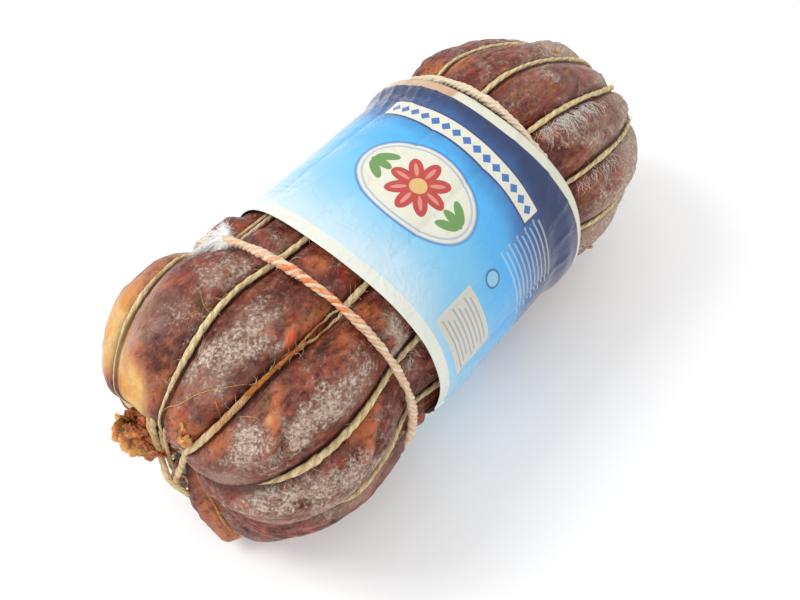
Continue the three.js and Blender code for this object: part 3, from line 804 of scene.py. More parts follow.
def skin_shader():
    shader = Shader("cured_casing")
    streak = shader.stretched(0.5, 1, 1)
    lean = shader.ramp(shader.attribute("fat"), 0.65, 0.25)
    skin_colour(shader, streak)
    mottle = shader.noise(2.3, 4, 0.66, shader.stretched(0.65, 1, 1), 0.25)
    shader.lay(shader.times(shader.times(shader.ramp(mottle, 0.5, 0.36), 0.62), lean), MOTTLE)
    shader.lay(shader.times(shader.times(shader.ramp(mottle, 0.54, 0.68), 0.38), lean), PEACH)
    # Thin dark lines in the fine wrinkles: painted shade, also pressed in by the bump below
    lines = shader.times(shader.ridges(7, 20.0, streak), lean)
    shader.lay(lines, WRINKLE_SHADE, 0.22)
    # Pale mould haze and painted sheen
    haze = shader.plus(shader.attribute("haze"), shader.noise(6, 4, 0.6, None, 0.6), 0.9)
    shader.lay(shader.ramp(haze, 0.48, 1.5), HAZE_AND_SHEEN, 0.8)
    shader.lay(shader.spots(10, 0.075, 0.02, 0.22), SPECK)
    flecks = shader.noise(1.05, 3, 0.72)
    bloom = skin_bloom(shader, flecks)
    # Painted shade in the beds beside the twine
    shader.lay(shader.attribute("groove"), GROOVE_SHADE, 0.6)
    shader.set(Base_Color=shader.colour, Subsurface_Weight=0.08, Subsurface_Scale=0.003)
    shader.set(Subsurface_Radius=(1.0, 0.35, 0.2), Specular_IOR_Level=0.22)
    shader.set(Roughness=shader.plus(shader.plus(0.2, mottle, 0.2), bloom, 0.4))
    height = shader.plus(shader.plus(mottle, flecks, 0.5), bloom, 0.3)
    shader.set(Normal=shader.bump(shader.plus(height, lines, -0.3), 0.75))
    return shader.material


def make_skin(material):
    skin_half("near_skin", False, material)
    skin_half("far_skin", True, material)


def skin_half(name, far, material):
    """The skin from one end to the middle, shut by a disc under the sleeve."""
    s = skin_stations(far)[:, None]
    x, r, _, _ = profile_at(s)
    lobes, steps, degrees, beds = skin_columns(x, r)
    points, width = skin_at(s, lobes, steps, degrees, -BED_HOLLOW * beds)
    values = {key: patches(spots, x, degrees) for key, spots in SKIN_PATCHES.items()}
    values["tone"] = folds(s, x, degrees)[1]
    # The beds' painted shade: darkest beside the twine, fading up each lobe
    values["groove"] = np.exp(-np.minimum(steps, 1 - steps) * width) * smooth(r, 4, 20)
    pole = skin(1.0 if far else 0.0, 0.0, 0.0)
    hubs = [points[0].mean(0), pole] if far else [pole, points[-1].mean(0)]
    add_piece(name, tube(points, hubs, values), material, "coppa_body")


# The gathered ends: each tuft's path from its pole, and its radius along it
GATHERED_PATH = [(6, 0, 0), (0, 0, 0), (-5.2, 0.8, 0.9), (-8.2, 4.6, 4.8), (-8.2, 9.4, 10.6)]
GATHERED_RADII = [3.6, 3.6, 3.3, 2.9, 2.9, 3.6, 4.7, 5.6, 6.2, 6.5]
CUP_ROWS, CUP_SIDES, LIP_ROWS = 96, 190, 36
LIP_THICKNESS = 1.3
LIP_BULGE = 5.2
FULL_SIDE = 195
# Waves of the lip: height, how many round it, and shift
LIP_WAVES = [(0.9, 3, 0.7), (0.6, 7, 2.0), (0.3, 13, 0.0)]
FAR_SIZE = 90
FAR_PATH = [(-6, 0, 0), (0, 0, 0), (5, 0, 0), (9, -1, 2), (11, -2, 4)]
FAR_RADII = [3.9, 3.9, 3.6, 3.4, 4.2, 4.6, 4.2, 3.4, 2.6]


def crumpled(centres, radii, out, sides, seed, free):
    """A closed tube thrown into deep rounded folds where free is above 0."""
    along = unit(np.gradient(centres, axis=0))
    side = unit(np.cross(along, out))
    up = np.cross(side, along)
    angle = np.linspace(0, 2 * np.pi, sides, endpoint=False)
    ring = heading(angle, up[:, None], side[:, None])
    length = np.concatenate([[0], np.cumsum(np.linalg.norm(np.diff(centres, axis=0), axis=1))])
    place = centres[:, None] + radii[:, None, None] * ring
    warp = np.stack([lattice_noise(place, 4.5, seed + k) for k in range(3)], -1) * 1.8
    flow = 0.42 * length[:, None, None] * along[:, None] + radii[:, None, None] * ring + warp
    deep = np.abs(lattice_noise(flow, 3.0, seed + 3))
    shallow = np.abs(lattice_noise(flow, 1.25, seed + 4))
    rise = free[:, None] * (2.9 * (deep**0.7 - 0.42) + 1.1 * (shallow**0.7 - 0.4))
    points = centres[:, None] + (radii[:, None] + rise)[..., None] * ring
    # The hollow value marks painted shade in the folds' troughs
    hollow = free[:, None] * np.clip(1 - deep / 0.22, 0, 1) + 0.5 * np.clip(1 - shallow / 0.2, 0, 1)
    values = {"hollow": np.clip(hollow, 0, 1), "tip": np.broadcast_to(free[:, None], deep.shape)}
    return tube(points, centres[[0, -1]], values, hollow=[0, 0.5], tip=[0, 1])


def tuft(pole, seed):
    """The short gathered end at the far pole."""
    centres = spline_through(FAR_PATH, FAR_SIZE) + pole
    share = np.linspace(0, 1, FAR_SIZE)
    radius = np.interp(share, np.linspace(0, 1, len(FAR_RADII)), FAR_RADII)
    rounded = np.sqrt(np.clip(1 - ((share - 0.86) / 0.14).clip(0, 1) ** 2, 0.004, 1))
    free = smooth(share, 0.3, 0.5)
    return crumpled(centres, radius * rounded, np.array([0, -0.6, 0.8]), FAR_SIZE, seed, free)


def cup_section(outer, angle):
    """The cup's wall, row by row: up its outside, over the lip and down inside.

    Gives each row's place on the path, its reach from it, how far it stands above the lip, the
    wall's thickness, and how far inside the row lies.
    """
    thick = LIP_THICKNESS + LIP_BULGE * bell(turn_from(FULL_SIDE, np.degrees(angle)) / 150)
    over = np.linspace(0, np.pi, LIP_ROWS)[1:-1, None]
    back = np.arange(CUP_ROWS - 1, CUP_ROWS // 2, -1)
    index = np.concatenate([np.arange(CUP_ROWS), np.full(len(over), CUP_ROWS - 1), back])
    reach = np.concatenate([
        outer[:, None] + 0 * angle,
        outer[-1] - thick / 2 + thick / 2 * np.cos(over),
        np.maximum(outer[back][:, None] - thick, 0.25),
    ])
    raised = np.concatenate([0 * outer, np.sin(over[:, 0]) / 2, 0.0 * back])[:, None]
    inside = np.concatenate([np.zeros(CUP_ROWS + len(over)), np.linspace(0.3, 1, len(back))])[:, None]
    return index, reach, raised, thick, inside


def cup(pole, seed):
    """The gathered end as a cup of casing, pleated from its neck to a ruffled lip."""
    centres = spline_through(GATHERED_PATH, CUP_ROWS) + pole
    along = unit(np.gradient(centres, axis=0))
    side = unit(np.array([0.64, -0.77, 0]) - along * (along @ [0.64, -0.77, 0])[:, None])
    share = np.linspace(0, 1, CUP_ROWS)
    outer = np.interp(share, np.linspace(0, 1, len(GATHERED_RADII)), GATHERED_RADII)
    angle = np.linspace(0, 2 * np.pi, CUP_SIDES, endpoint=False)[None]
    index, reach, raised, thick, inside = cup_section(outer, angle)
    up, share = np.cross(along, side)[index][:, None], share[index][:, None]
    along, side = along[index][:, None], side[index][:, None]
    ring = heading(angle, side, up)
    free = smooth(share, 0.25, 0.6)
    waves = sum(height * np.sin(count * angle + shift) for height, count, shift in LIP_WAVES)
    above = raised * thick + free**2 * waves
    base = centres[index][:, None] + reach[..., None] * ring + above[..., None] * along
    flow = on_tube(2.2 * share, 4.2, angle)
    flow = flow + 0.8 * lattice_noise(flow, 2.0, seed)[..., None]
    pleat = 1 - np.abs(lattice_noise(flow, 1.15, seed + 1)) ** 0.8
    warp = np.stack([lattice_noise(base, 5, seed + k) for k in (2, 3, 4)], -1) * 1.1
    deep = np.abs(lattice_noise(base + warp, 3.1, seed + 5))
    shallow = np.abs(lattice_noise(base + warp, 1.3, seed + 6))
    crumple = free * (1.9 * (deep**0.7 - 0.45) + 0.85 * (shallow**0.7 - 0.4))
    rise = (crumple - (0.25 + 0.75 * free) * 1.4 * (pleat - 0.5)) * (1 - 0.6 * inside)
    points = base + rise[..., None] * unit(ring + 0.6 * raised[..., None] * along)
    # The hollow value marks painted shade: in the folds, the pleats and inside the cup
    hollow = 0.8 * free * np.clip(1 - deep / 0.2, 0, 1) + 0.3 * np.clip(1 - shallow / 0.2, 0, 1)
    hollow = hollow + 0.6 * np.clip((pleat - 0.75) / 0.25, 0, 1) + 0.9 * inside
    full = bell(turn_from(FULL_SIDE, np.degrees(angle)) / 85)
    golden = smooth(share, 0.35, 0.8) * (0.25 + 0.75 * full)
    values = {"hollow": np.clip(hollow, 0, 1), "tip": golden}
    return tube(points, points[[0, -1]].mean(1), values, hollow=[0, 1])


def tuft_shader():
    shader = Shader("gathered_casing")
    fine = shader.noise(1.4, 3, 0.6, None, 0.6)
    shader.colour = shader.mix(shader.cloud(4, 0.3, 0.7), lit(236, 140, 54), lit(255, 200, 104))
    shader.lay(shader.ramp(fine, 0.52, 0.66), lit(255, 216, 150), 0.6)
    base = shader.math("SUBTRACT", 1.0, shader.attribute("tip"))
    brown = shader.mix(shader.ramp(fine, 0.4, 0.62), lit(140, 60, 28), lit(214, 124, 72))
    shader.lay(shader.ramp(base, 0.1, 0.75), brown)
    # Painted shade in the folds' hollows and inside the cup
    shader.lay(shader.attribute("hollow"), lit(70, 28, 14), 0.85)
    shader.set(Base_Color=shader.colour, Roughness=0.38)
    shader.set(Subsurface_Weight=0.2, Subsurface_Scale=0.002, Subsurface_Radius=(1.0, 0.5, 0.25))
    shader.set(Specular_IOR_Level=0.3, Normal=shader.bump(fine, 0.3))
    return shader.material


SCRAP_THICKNESS = 0.35
# Small ruffled scraps of casing and fat: place on the skin (x or, at the end, radius; angle), the
# way it runs from +x towards more angle, length, width, folds, fold height, and lift
RUFFLES = [
    ("end", 33.5, 108, 148, 6.4, 3.4, 4.0, 1.1, 0.4),
    ("end", 37.0, 104, 130, 3.0, 1.0, 1.5, 0.7, 0.5),
    ("side", 84, 88, 20, 2.0, 1.0, 2.5, 0.4, 0.3),
    ("side", 58, 196, 100, 2.6, 1.4, 2.5, 0.4, 0.3),
]


def ruffle(kind, place, degrees, turn, length, width, waves, height, lift):
    """A little sheet folded to and fro, with both faces."""
    stations = np.linspace(0.02, 0.98, 1500)
    x, r, _, _ = profile_at(stations)
    ends = r + np.where(x < -95, 0, 100)
    s = stations[np.argmin(np.abs(ends - place))] if kind == "end" else station_of_x(place)
    centre = surface_at(s, degrees, lift)
    ahead = unit(surface_at(s + 0.003, degrees, lift) - centre)
    around = unit(surface_at(s, degrees + 0.8, lift) - centre)
    out = unit(np.cross(ahead, around))
    out = out if out @ (centre * np.array([0.6, 1, 1])) > 0 else -out
    turn = np.radians(turn)
    way = heading(turn, ahead, around)
    across = np.cross(out, way)
    u, v = np.meshgrid(np.linspace(-0.5, 0.5, 60), np.linspace(-0.5, 0.5, 12), indexing="ij")
    phase = 2 * np.pi * waves * u + 0.8 * v
    narrow = width * (0.55 + 0.45 * np.cos(np.pi * u)) * (1 + 0.15 * np.sin(5 * phase))
    up = height * (0.5 + 0.5 * np.sin(phase)) + 0.5 * np.cos(np.pi * v) + 0.25 * np.sin(9 * u + 5 * v)
    way_part = (u * length + 0.25 * height * np.cos(phase))[..., None] * way
    top = centre + way_part + (v * narrow)[..., None] * across + up[..., None] * out
    return slab(top, out, SCRAP_THICKNESS)


def slab(top, out, thickness):
    """A closed sheet from the grid of its top and a thickness."""
    rows, columns = top.shape[:2]
    under = top - thickness * out
    loops = np.concatenate([top, under[:, ::-1]], axis=1)
    width = 2 * columns
    faces = grid_faces(rows, width)
    faces.append(tuple(range(width)))
    faces.append(tuple(reversed(range((rows - 1) * width, rows * width))))
    # The hollow value is a little painted shade along each scrap's middle, lighter to its edges
    edge = np.abs(np.linspace(-1, 1, columns))
    shade = np.broadcast_to(np.concatenate([edge, edge[::-1]]), loops.shape[:2])
    vertices = loops.reshape(-1, 3)
    return vertices, faces, {"hollow": 0.25 * (1 - shade).ravel(), "tip": np.ones(len(vertices))}


def make_tufts(material):
    scraps = join([ruffle(*entry) for entry in RUFFLES])
    parts = {"near_tuft": cup(POLES[0], 91), "far_tuft": tuft(POLES[1], 95), "ruffled_scraps": scraps}
    for name, part in parts.items():
        add_piece(name, part, material, "coppa_body")


# Twine
def rope(centres, outs, radius, plies, pitch, sides, seed, uneven, groove, flat=1.0, ring=False):
    """A twisted cord as one closed tube, its section bulging once for each ply."""
    if ring:
        along = unit(np.roll(centres, -1, 0) - np.roll(centres, 1, 0))
    else:
        along = unit(np.gradient(centres, axis=0))
    side = unit(np.cross(along, outs))
    up = np.cross(side, along)
    after_last = centres[:1] if ring else centres[-1:]
    step = np.linalg.norm(np.diff(centres, axis=0, append=after_last), axis=1)
    length = np.concatenate([[0], np.cumsum(step)[:-1]])
    if ring:
        pitch = step.sum() / round(step.sum() / pitch)
    angle = np.linspace(-np.pi, np.pi, sides, endpoint=False)[None]
    on_line = on_tube(length, 0, 0)
    wander = 0.9 * lattice_noise(on_line, 4.5, seed + 2)
    if ring:
        wander = wander * smooth(np.minimum(length, step.sum() - length), 0, 8)
    turned = angle + (2 * np.pi * length / pitch + wander)[:, None]
    bulge = np.abs(np.cos(plies * turned / 2)) ** 0.7
    rough = lattice_noise(on_tube(length[:, None], 3, angle), 2.2, seed)
    slow = lattice_noise(on_line, 9, seed + 1)[:, None]
    thick = np.broadcast_to(radius, len(centres))[:, None]
    reach = thick * (1 - groove + groove * bulge) * (1 + uneven * rough + uneven * slow)
    if ring:
        seam = np.minimum(length, step.sum() - length)[:, None]
        reach = reach + (reach[:1] - reach) * np.exp(-seam / 3)
    points = centres[:, None] + reach[..., None] * (
        flat * np.cos(angle)[..., None] * up[:, None] + np.sin(angle)[..., None] * side[:, None]
    )
    points = settle(points, 0)
    ply = np.floor(plies * turned / (2 * np.pi) + 0.5) % plies
    lengthwise = np.broadcast_to(length[:, None] * MM, ply.shape)
    # hollow marks where painted shade goes, in the grooves between the plies
    values = {"ply": ply, "hollow": 1 - bulge, "lengthwise": lengthwise, "around": turned * thick * MM}
    if ring:
        return points.reshape(-1, 3), flipped(grid_faces(*ply.shape, closed_rows=True)), values
    return tube(points, centres[[0, -1]], values)


def cord_frames(s, degrees, radius, below=0.0):
    """Middles and outward directions of a cord that lies on the beds' level."""
    x, _, nx, nr = profile_at(s)
    room = room_below(x, 0)

    def at(ds, da):
        return settle(skin(s + ds, degrees + da, 0), room)

    out = unit(np.cross(at(0, 0.5) - at(0, -0.5), at(0.003, 0) - at(-0.003, 0)))
    outward = on_tube(nx, nr, np.radians(degrees))
    out = np.where((out * outward).sum(-1, keepdims=True) < 0, -out, out)
    return at(0, 0) + out * np.asarray(below + GAP + radius)[..., None], out


def collar_frames(pole, angle):
    """The winding round a gathered end, at some angles."""
    out = on_tube(0, 1, angle)
    centre = pole + np.array([np.sign(pole[0]) * COLLAR_HEIGHT, 0, 0])
    return centre + out * COLLAR_RADIUS, out


TWINE_STEP = 0.8
TWINE_PITCH = 8.0
TWINE_SIDES = 14
TWINE_FLATNESS = 0.82
WINDING_STEPS = 64
STRAND_STEPS = 90
# How uneven a run is and how deep the groove between its plies, as shares of its radius
RUN_ROUGHNESS = (0.2, 0.16)
# The third run leaves the skin where the end is hollow, and is folded over the loose strands
FOLDED_RUN = 2
FOLDED_FROM_RADIUS = 26
FOLDED_END = [(-107.6, -4.6, 15.2), (-109.6, -3.0, 8.6), (-111.8, -0.8, 0.8), (-113.2, 0.2, -4.8)]
FOLD_SWELL = [1.0, 1.25, 1.35, 1.3, 1.2, 1.1]
# Loose strands over the hollow end, each as points and its radius
LOOSE_STRANDS = [
    ([(-104.5, 8.0, 31), (-108.5, 7.2, 24), (-110.3, 7.4, 12), (-112.3, 5.6, 3),
      (-114.2, 4.2, -3.6), (-114.2, 3.4, -10), (-113.7, 2.5, -16.5), (-112.7, 1.2, -24),
      (-111.8, -3.0, -31), (-109.6, -6.5, -37)], 0.96),
    ([(-104.4, 6.4, 30), (-108.6, 5.6, 23.4), (-110.7, 6.0, 11.6), (-112.6, 4.3, 2.6),
      (-114.2, 2.9, -4.2), (-113.8, 2.2, -10), (-113.0, 1.4, -17), (-112.0, -0.2, -24),
      (-111.0, -4.4, -31), (-108.4, -8.0, -37)], 0.9),
    ([(-107.2, 0.2, 27), (-108.9, 1.8, 18), (-109.6, 3.6, 9), (-110.6, 4.2, 0),
      (-111.4, 4.2, -8), (-111.0, 4.6, -12)], 0.7),
    ([(-107.5, 4.6, 20), (-109.0, 5.0, 12), (-110.4, 4.8, 3), (-111.2, 4.6, -7),
      (-109.6, 4.0, -16), (-106.5, 2.0, -24)], 0.8),
]

# How thick the near part of each run is against the twine's own size, and every far part
RUN_THICKNESS = {0: 0.74, 1: 0.85, 2: 0.87, 3: 1.04, 4: 1.0}
FAR_THICKNESS = 0.8
# Where a run is drawn thinner: the middle of the stretch, its reach and how much
RUN_SLIMMED = {1: (-106, 9, 0.25), 2: (-74, 9, 0.3), 3: (-52, 13, 0.3)}
# Where a run grows to its full thickness, from x to x
RUN_TAPERS = {0: (-99, -92), 1: (-120, -92), 3: (-104, -88), 4: (-92, -80)}
# The third run's two plies lie apart for a stretch
SPLIT_STRETCH = (-68.5, -55)
SPLIT_GAP = 0.85
PLY_RADIUS = 0.44


def thickness(index, x):
    """Half the thickness of a run along its length."""
    share = RUN_THICKNESS.get(index, FAR_THICKNESS)
    share = share + (FAR_THICKNESS - share) * smooth(x, -30, 30)
    low, high = RUN_TAPERS.get(index, (-200, -199))
    middle, reach, slim = RUN_SLIMMED.get(index, (0, 1, 0))
    share = share - slim * bell((x - middle) / reach)
    return TWINE_DIAMETER / 2 * share * (0.35 + 0.65 * smooth(x, low, high))


def run_stations(index):
    """Where a run lies on the skin, with few places where the sleeve hides it."""
    stations = np.arange(3, PROFILE_LENGTH - 3, TWINE_STEP) / PROFILE_LENGTH
    x, r, _, _ = profile_at(stations)
    kept = (r >= LEAST_BED_RADIUS) & (x >= RUN_STARTS.get(index, -np.inf))
    kept &= ~covered(x) | (np.arange(len(x)) % 4 == 0)
    if index == FOLDED_RUN:
        kept &= (x > -90) | (r > FOLDED_FROM_RADIUS)
        kept &= (x < SPLIT_STRETCH[0]) | (x > SPLIT_STRETCH[1])
    return stations[kept]


def twine_run(index):
    """One lengthwise run with its leads to the windings, as one part."""
    folded = index == FOLDED_RUN
    s = run_stations(index)
    x = profile_at(s)[0]
    radius = thickness(index, x)
    sunk = 1.4 * (1 - smooth(x, *RUN_TAPERS[index])) if index in RUN_STARTS else 0
    centres, outs = cord_frames(s, run_angle(index, x), radius, -0.15 - sunk)
    near_tip, far_tip = (collar_frames(pole, np.radians(run_angle(index, pole[:1]))) for pole in POLES)
    if folded:
        bend = spline_through(FOLDED_END[::-1] + [centres[0]], 30)[:-1]
        centres = np.concatenate([bend, centres])
        outs = np.concatenate([np.tile(outs[:1], (len(bend), 1)), outs])
    elif index not in RUN_STARTS:
        centres, outs = lead_in(centres, outs, *near_tip)
    radius = np.pad(radius, (len(centres) - len(radius), 0), "edge")
    centres, outs = (line[::-1] for line in lead_in(centres[::-1], outs[::-1], *far_tip))
    radius = np.pad(radius, (0, len(centres) - len(radius)), "edge")
    parts = [slice(0, None)]
    if folded:
        radius[:len(FOLD_SWELL)] *= FOLD_SWELL
        gap = int(np.argmax(np.linalg.norm(np.diff(centres, axis=0), axis=1) * (centres[:-1, 0] < -30)))
        parts = [slice(0, gap + 1), slice(gap + 1, None)]
    ropes = [
        rope(centres[part], outs[part], radius[part], 2, TWINE_PITCH, TWINE_SIDES, 40 + index,
             *RUN_ROUGHNESS, TWINE_FLATNESS)
        for part in parts
    ]
    return join(ropes + (split_plies() if folded else []))


def split_plies():
    """The two plies of the third run where they lie apart, frayed and darkened."""
    begin, end = SPLIT_STRETCH
    x = np.arange(begin - 2.5, end + 2, 0.35)
    s = station_of_x(x)
    apart = smooth(x, begin - 2, begin + 4) * smooth(-x, -end - 2, -end + 2)
    ropes = []
    for sign, seed in ((-1, 55), (1, 56)):
        aside = sign * (0.2 + SPLIT_GAP * apart) + 0.12 * np.sin(x * 1.3 + seed)
        degrees = run_angle(FOLDED_RUN, x) + np.degrees(aside / profile_at(s)[1])
        centres, outs = cord_frames(s, degrees, PLY_RADIUS, 0.1)
        ropes.append(rope(centres, outs, np.full(len(x), 0.46), 2, 3.6, 10, seed, 0.3, 0.3))
    return ropes


def lead_in(centres, outs, tip, tip_out):
    """Adds a smooth stretch from a run's start to the winding round the neck."""
    count = max(3, int(np.linalg.norm(centres[0] - tip[0]) / TWINE_STEP))
    share = np.linspace(0, 1, count, endpoint=False)[:, None]
    return (
        np.concatenate([tip + (centres[0] - tip) * share, centres]),
        np.concatenate([unit(tip_out + (outs[0] - tip_out) * share), outs]),
    )


def loose_strand(points, radius, seed):
    centres = spline_through(points, STRAND_STEPS)
    outs = np.tile([-1.0, 0.0, 0.0], (STRAND_STEPS, 1))
    return rope(centres, outs, radius, 2, TWINE_PITCH, TWINE_SIDES, seed, 0.2, 0.26)


# Twine darkened by what has soaked into it, and by painted shade over the loose strands at the near end (x
# -111, angle 60); each (x, angle, reach along, reach round, strength)
TWINE_STAINS_AND_SHADE = [
    (-74, 113, 12, 6, 1.1), (-86, 113, 5, 6, 0.9), (-97, 113, 5, 6, 0.6), (-78, 52, 3, 8, 0.6),
    (-70, 52, 2, 8, 0.5), (-101, 145, 3, 6, 0.5), (-60, 113, 4, 6, 0.9), (-111, 60, 6, 40, 0.45),
    (-108, 232, 16, 24, 1.2),
]


def twine_shader():
    shader = Shader("natural_twine")
    along = shader.times(shader.attribute("lengthwise"), 0.16)
    on_cord = shader.node("ShaderNodeCombineXYZ", X=along, Y=shader.attribute("around")).outputs[0]
    fibres = shader.noise(0.34, 4, 0.75, on_cord)
    slow = shader.noise(6, 3, 0.6)
    shader.colour = shader.mix(shader.ramp(fibres, 0.34, 0.6), lit(228, 188, 120), srgb(250, 233, 188))
    shader.lay(shader.ramp(slow, 0.5, 0.75), lit(206, 172, 112), 0.35)
    shader.lay(shader.cloud(1.9, 0.5, 0.66, detail=3, roughness=0.7), lit(182, 142, 88), 0.34)
    # Painted shade in the grooves between the plies
    shader.lay(shader.attribute("hollow"), lit(128, 92, 54), 0.44)
    # Real stains, and painted shade over the loose strands at the near end
    stain = shader.times(shader.attribute("stain"), shader.ramp(slow, 0.2, 0.5))
    rust_and_shade = shader.mix(shader.ramp(fibres, 0.36, 0.6), lit(112, 50, 24), lit(224, 142, 74))
    shader.lay(stain, rust_and_shade)
    shader.set(Base_Color=shader.colour, Roughness=0.9, Specular_IOR_Level=0.1)
    shader.set(Normal=shader.bump(fibres, 0.5))
    return shader.material


def make_twine(material):
    parts = {f"twine_run_{index + 1}": twine_run(index) for index in range(RUN_COUNT)}
    angle = np.linspace(0, 2 * np.pi, WINDING_STEPS, endpoint=False)
    for pole, name in zip(POLES, ("near", "far")):
        winding = collar_frames(pole, angle)
        radius = TWINE_DIAMETER / 2
        parts[f"{name}_winding"] = rope(*winding, radius, 2, TWINE_PITCH, 12, 71, 0.1, 0.16, ring=True)
    parts["loose_strands"] = join([
        loose_strand(points, radius, 60 + k) for k, (points, radius) in enumerate(LOOSE_STRANDS)
    ])
    for name, part in parts.items():
        x, y, z = part[0].T
        part[2]["stain"] = patches(TWINE_STAINS_AND_SHADE, x, np.degrees(np.arctan2(z, y)))
        add_piece(name, part, material, "lengthwise_twine")


# Hairs: thin fibres that stand off the twine, the knot and the skin
HAIR_POINTS = 9
FUZZ_RADIUS = 0.085
LYING_LIFT = 0.18
FIBRE_STATIONS = (0.06, 0.97)


def hairs(lines, radius):
    """Many tapering hairs as one mesh; lines is hairs x points x 3."""
    count, points = lines.shape[:2]
    along = unit(np.gradient(lines, axis=1) + 1e-9)
    side = unit(np.cross(along, [0.37, 0.21, 0.9]))
    up = np.cross(side, along)
    ring = heading(2 * np.pi * np.arange(3) / 3, up[:, :, None], side[:, :, None])
    taper = np.linspace(1, 0.4, points)[None, :, None, None]
    vertices = (lines[:, :, None] + np.reshape(radius, (-1, 1, 1, 1)) * taper * ring).reshape(-1, 3)
    base = (np.arange(count)[:, None, None] * points + np.arange(points - 1)[None, :, None]) * 3
    k, after = np.arange(3), (np.arange(3) + 1) % 3
    quads = np.stack(np.broadcast_arrays(base + k, base + after, base + 3 + after, base + 3 + k), -1)
    first = np.arange(count)[:, None] * points * 3
    caps = np.concatenate([first + [2, 1, 0], first + (points - 1) * 3 + [0, 1, 2]])
    return vertices, quads.reshape(-1, 4).tolist() + caps.tolist(), {}


def curls(starts, ways, lengths, curl, seed):
    """Lines that leave each start in its way and wander."""
    rng = np.random.default_rng(seed)
    share = np.linspace(0, 1, HAIR_POINTS)[:, None]
    bend = rng.normal(0, 1, (len(starts), 1, 3)) * curl
    twist = rng.normal(0, 1, (len(starts), 1, 3)) * curl * 0.6
    reach = np.asarray(lengths)[:, None, None]
    wander = bend * share**2 + twist * np.sin(share * 5 + bend[..., :1]) * share
    return starts[:, None] + reach * (ways[:, None] * share + wander)


# Stretches of twine that have loose fibres: run, from x, to x, how many
FUZZ = [
    (0, -92, -60, 14), (1, -100, -38, 26), (2, -95, -38, 44), (3, -98, -38, 30), (4, -85, -40, 20),
    (0, 44, 90, 8), (1, 44, 94, 14), (2, 44, 96, 24), (3, 44, 96, 18), (4, 44, 90, 10),
]


def twine_fuzz():
    rng = np.random.default_rng(7)
    starts, ways, lengths = [], [], []
    for run, low, high, count in FUZZ:
        x = rng.uniform(low, high, count)
        s = np.clip(station_of_x(x), *FIBRE_STATIONS)
        centres, outs = cord_frames(s, run_angle(run, x), TWINE_DIAMETER / 2, 0)
        aside = unit(np.cross(outs, [1.0, 0, 0])) * rng.choice([-1, 1], count)[:, None]
        start = centres + outs * 0.3 + aside * 0.7
        way = unit(0.5 * aside + 0.25 * outs + rng.normal(0, 0.5, (count, 3)) * [3.0, 0.4, 0.4])
        starts.append(start)
        ways.append(way)
        lengths.append(rng.gamma(2.2, 0.9, count) + 0.6)
    starts, ways, lengths = (np.concatenate(v) for v in (starts, ways, lengths))
    return hairs(curls(starts, ways, lengths, 0.3, 8), FUZZ_RADIUS)


# Long fibres that lie on the skin: route as (x, angle), radius
LYING_FIBRES = [
    ([(-105, 89), (-103, 92), (-100, 97), (-95, 101), (-90, 106), (-86, 110)], 0.16),
    ([(-84, 86.5), (-86, 89), (-88, 91), (-90, 91.5)], 0.13),
    ([(-80, 80), (-82, 79), (-84, 80), (-85, 82)], 0.09),
    ([(-70, 71), (-72, 75), (-71, 80)], 0.09),
    ([(-78, 39), (-74, 44), (-70, 49), (-67, 52)], 0.11),
    ([(-97, 112), (-94, 107), (-93, 104)], 0.10),
    ([(-93, 116), (-90, 120), (-91, 124)], 0.10),
    ([(56, 140), (59, 147), (57, 152)], 0.12),
]


def lying_fibres():
    parts = []
    for route, radius in LYING_FIBRES:
        line = spline_through(route, 24)
        points = surface_at(np.clip(station_of_x(line[:, 0]), *FIBRE_STATIONS), line[:, 1], LYING_LIFT)
        parts.append(hairs(points[None], radius))
    return join(parts)


# Mould hairs that fan out over a lobe from the twine before it: run, from x, to x, how many, degrees
MOULD_HAIRS = [(2, 46, 74, 150, 9.0), (3, 48, 70, 50, 7.0), (3, -50, -42, 8, 5.0), (1, -60, -48, 6, 4.0)]


def mould_hairs():
    rng = np.random.default_rng(11)
    lines = []
    for run, low, high, count, reach in MOULD_HAIRS:
        for _ in range(count):
            x = rng.uniform(low, high)
            begin = run_angle(run, np.array(x)) + rng.uniform(1.8, 4.5)
            share = np.linspace(0, 1, HAIR_POINTS)
            degrees = begin + share * reach * rng.uniform(0.35, 1.0)
            slant = share * rng.normal(-1.5, 2.2)
            along = x + slant + 0.7 * np.sin(share * rng.uniform(2, 6)) * rng.normal()
            lift = 0.15 + rng.uniform(0.0, 0.7) * np.sin(np.pi * share)
            lines.append(surface_at(station_of_x(along), degrees, lift))
    return hairs(np.array(lines), rng.uniform(0.06, 0.1, len(lines)))


def make_hairs():
    for name, part, colour, slot, node in (
        ("twine_fuzz", twine_fuzz(), lit(214, 198, 150), "twine", "lengthwise_twine"),
        ("lying_fibres", lying_fibres(), lit(222, 176, 110), "twine", "lengthwise_twine"),
        ("mould_hairs", mould_hairs(), lit(240, 234, 226), "casing", "coppa_body"),
    ):
        shader = Shader(name)
        shader.set(Base_Color=colour, Roughness=0.8, Specular_IOR_Level=0.2)
        add_piece(name, part, shader.material, node)


# The ties
TIE_PLIES = 4
TIE_PITCH = 8.6
TIE_STEPS = 760
# The twisted rope's radius as a share of the tie's
TIE_PULLED_IN = 0.87
SALMON_ANGLE = 104
LINK_RADIUS = 0.8
LINK_ASIDE = 3.9


def tie_frames(tie_x, clearance):
    """Middles and outward directions of a tie, above the floor by its clearance."""
    radius = TIE_DIAMETER / 2
    degrees = np.arange(TIE_STEPS) * 360 / TIE_STEPS
    centres = skin(np.full(TIE_STEPS, station_of_x(tie_x)), degrees, TIE_HEIGHT - 0.35 + radius)
    return settle(centres, radius + clearance), on_tube(0, 1, np.radians(degrees))


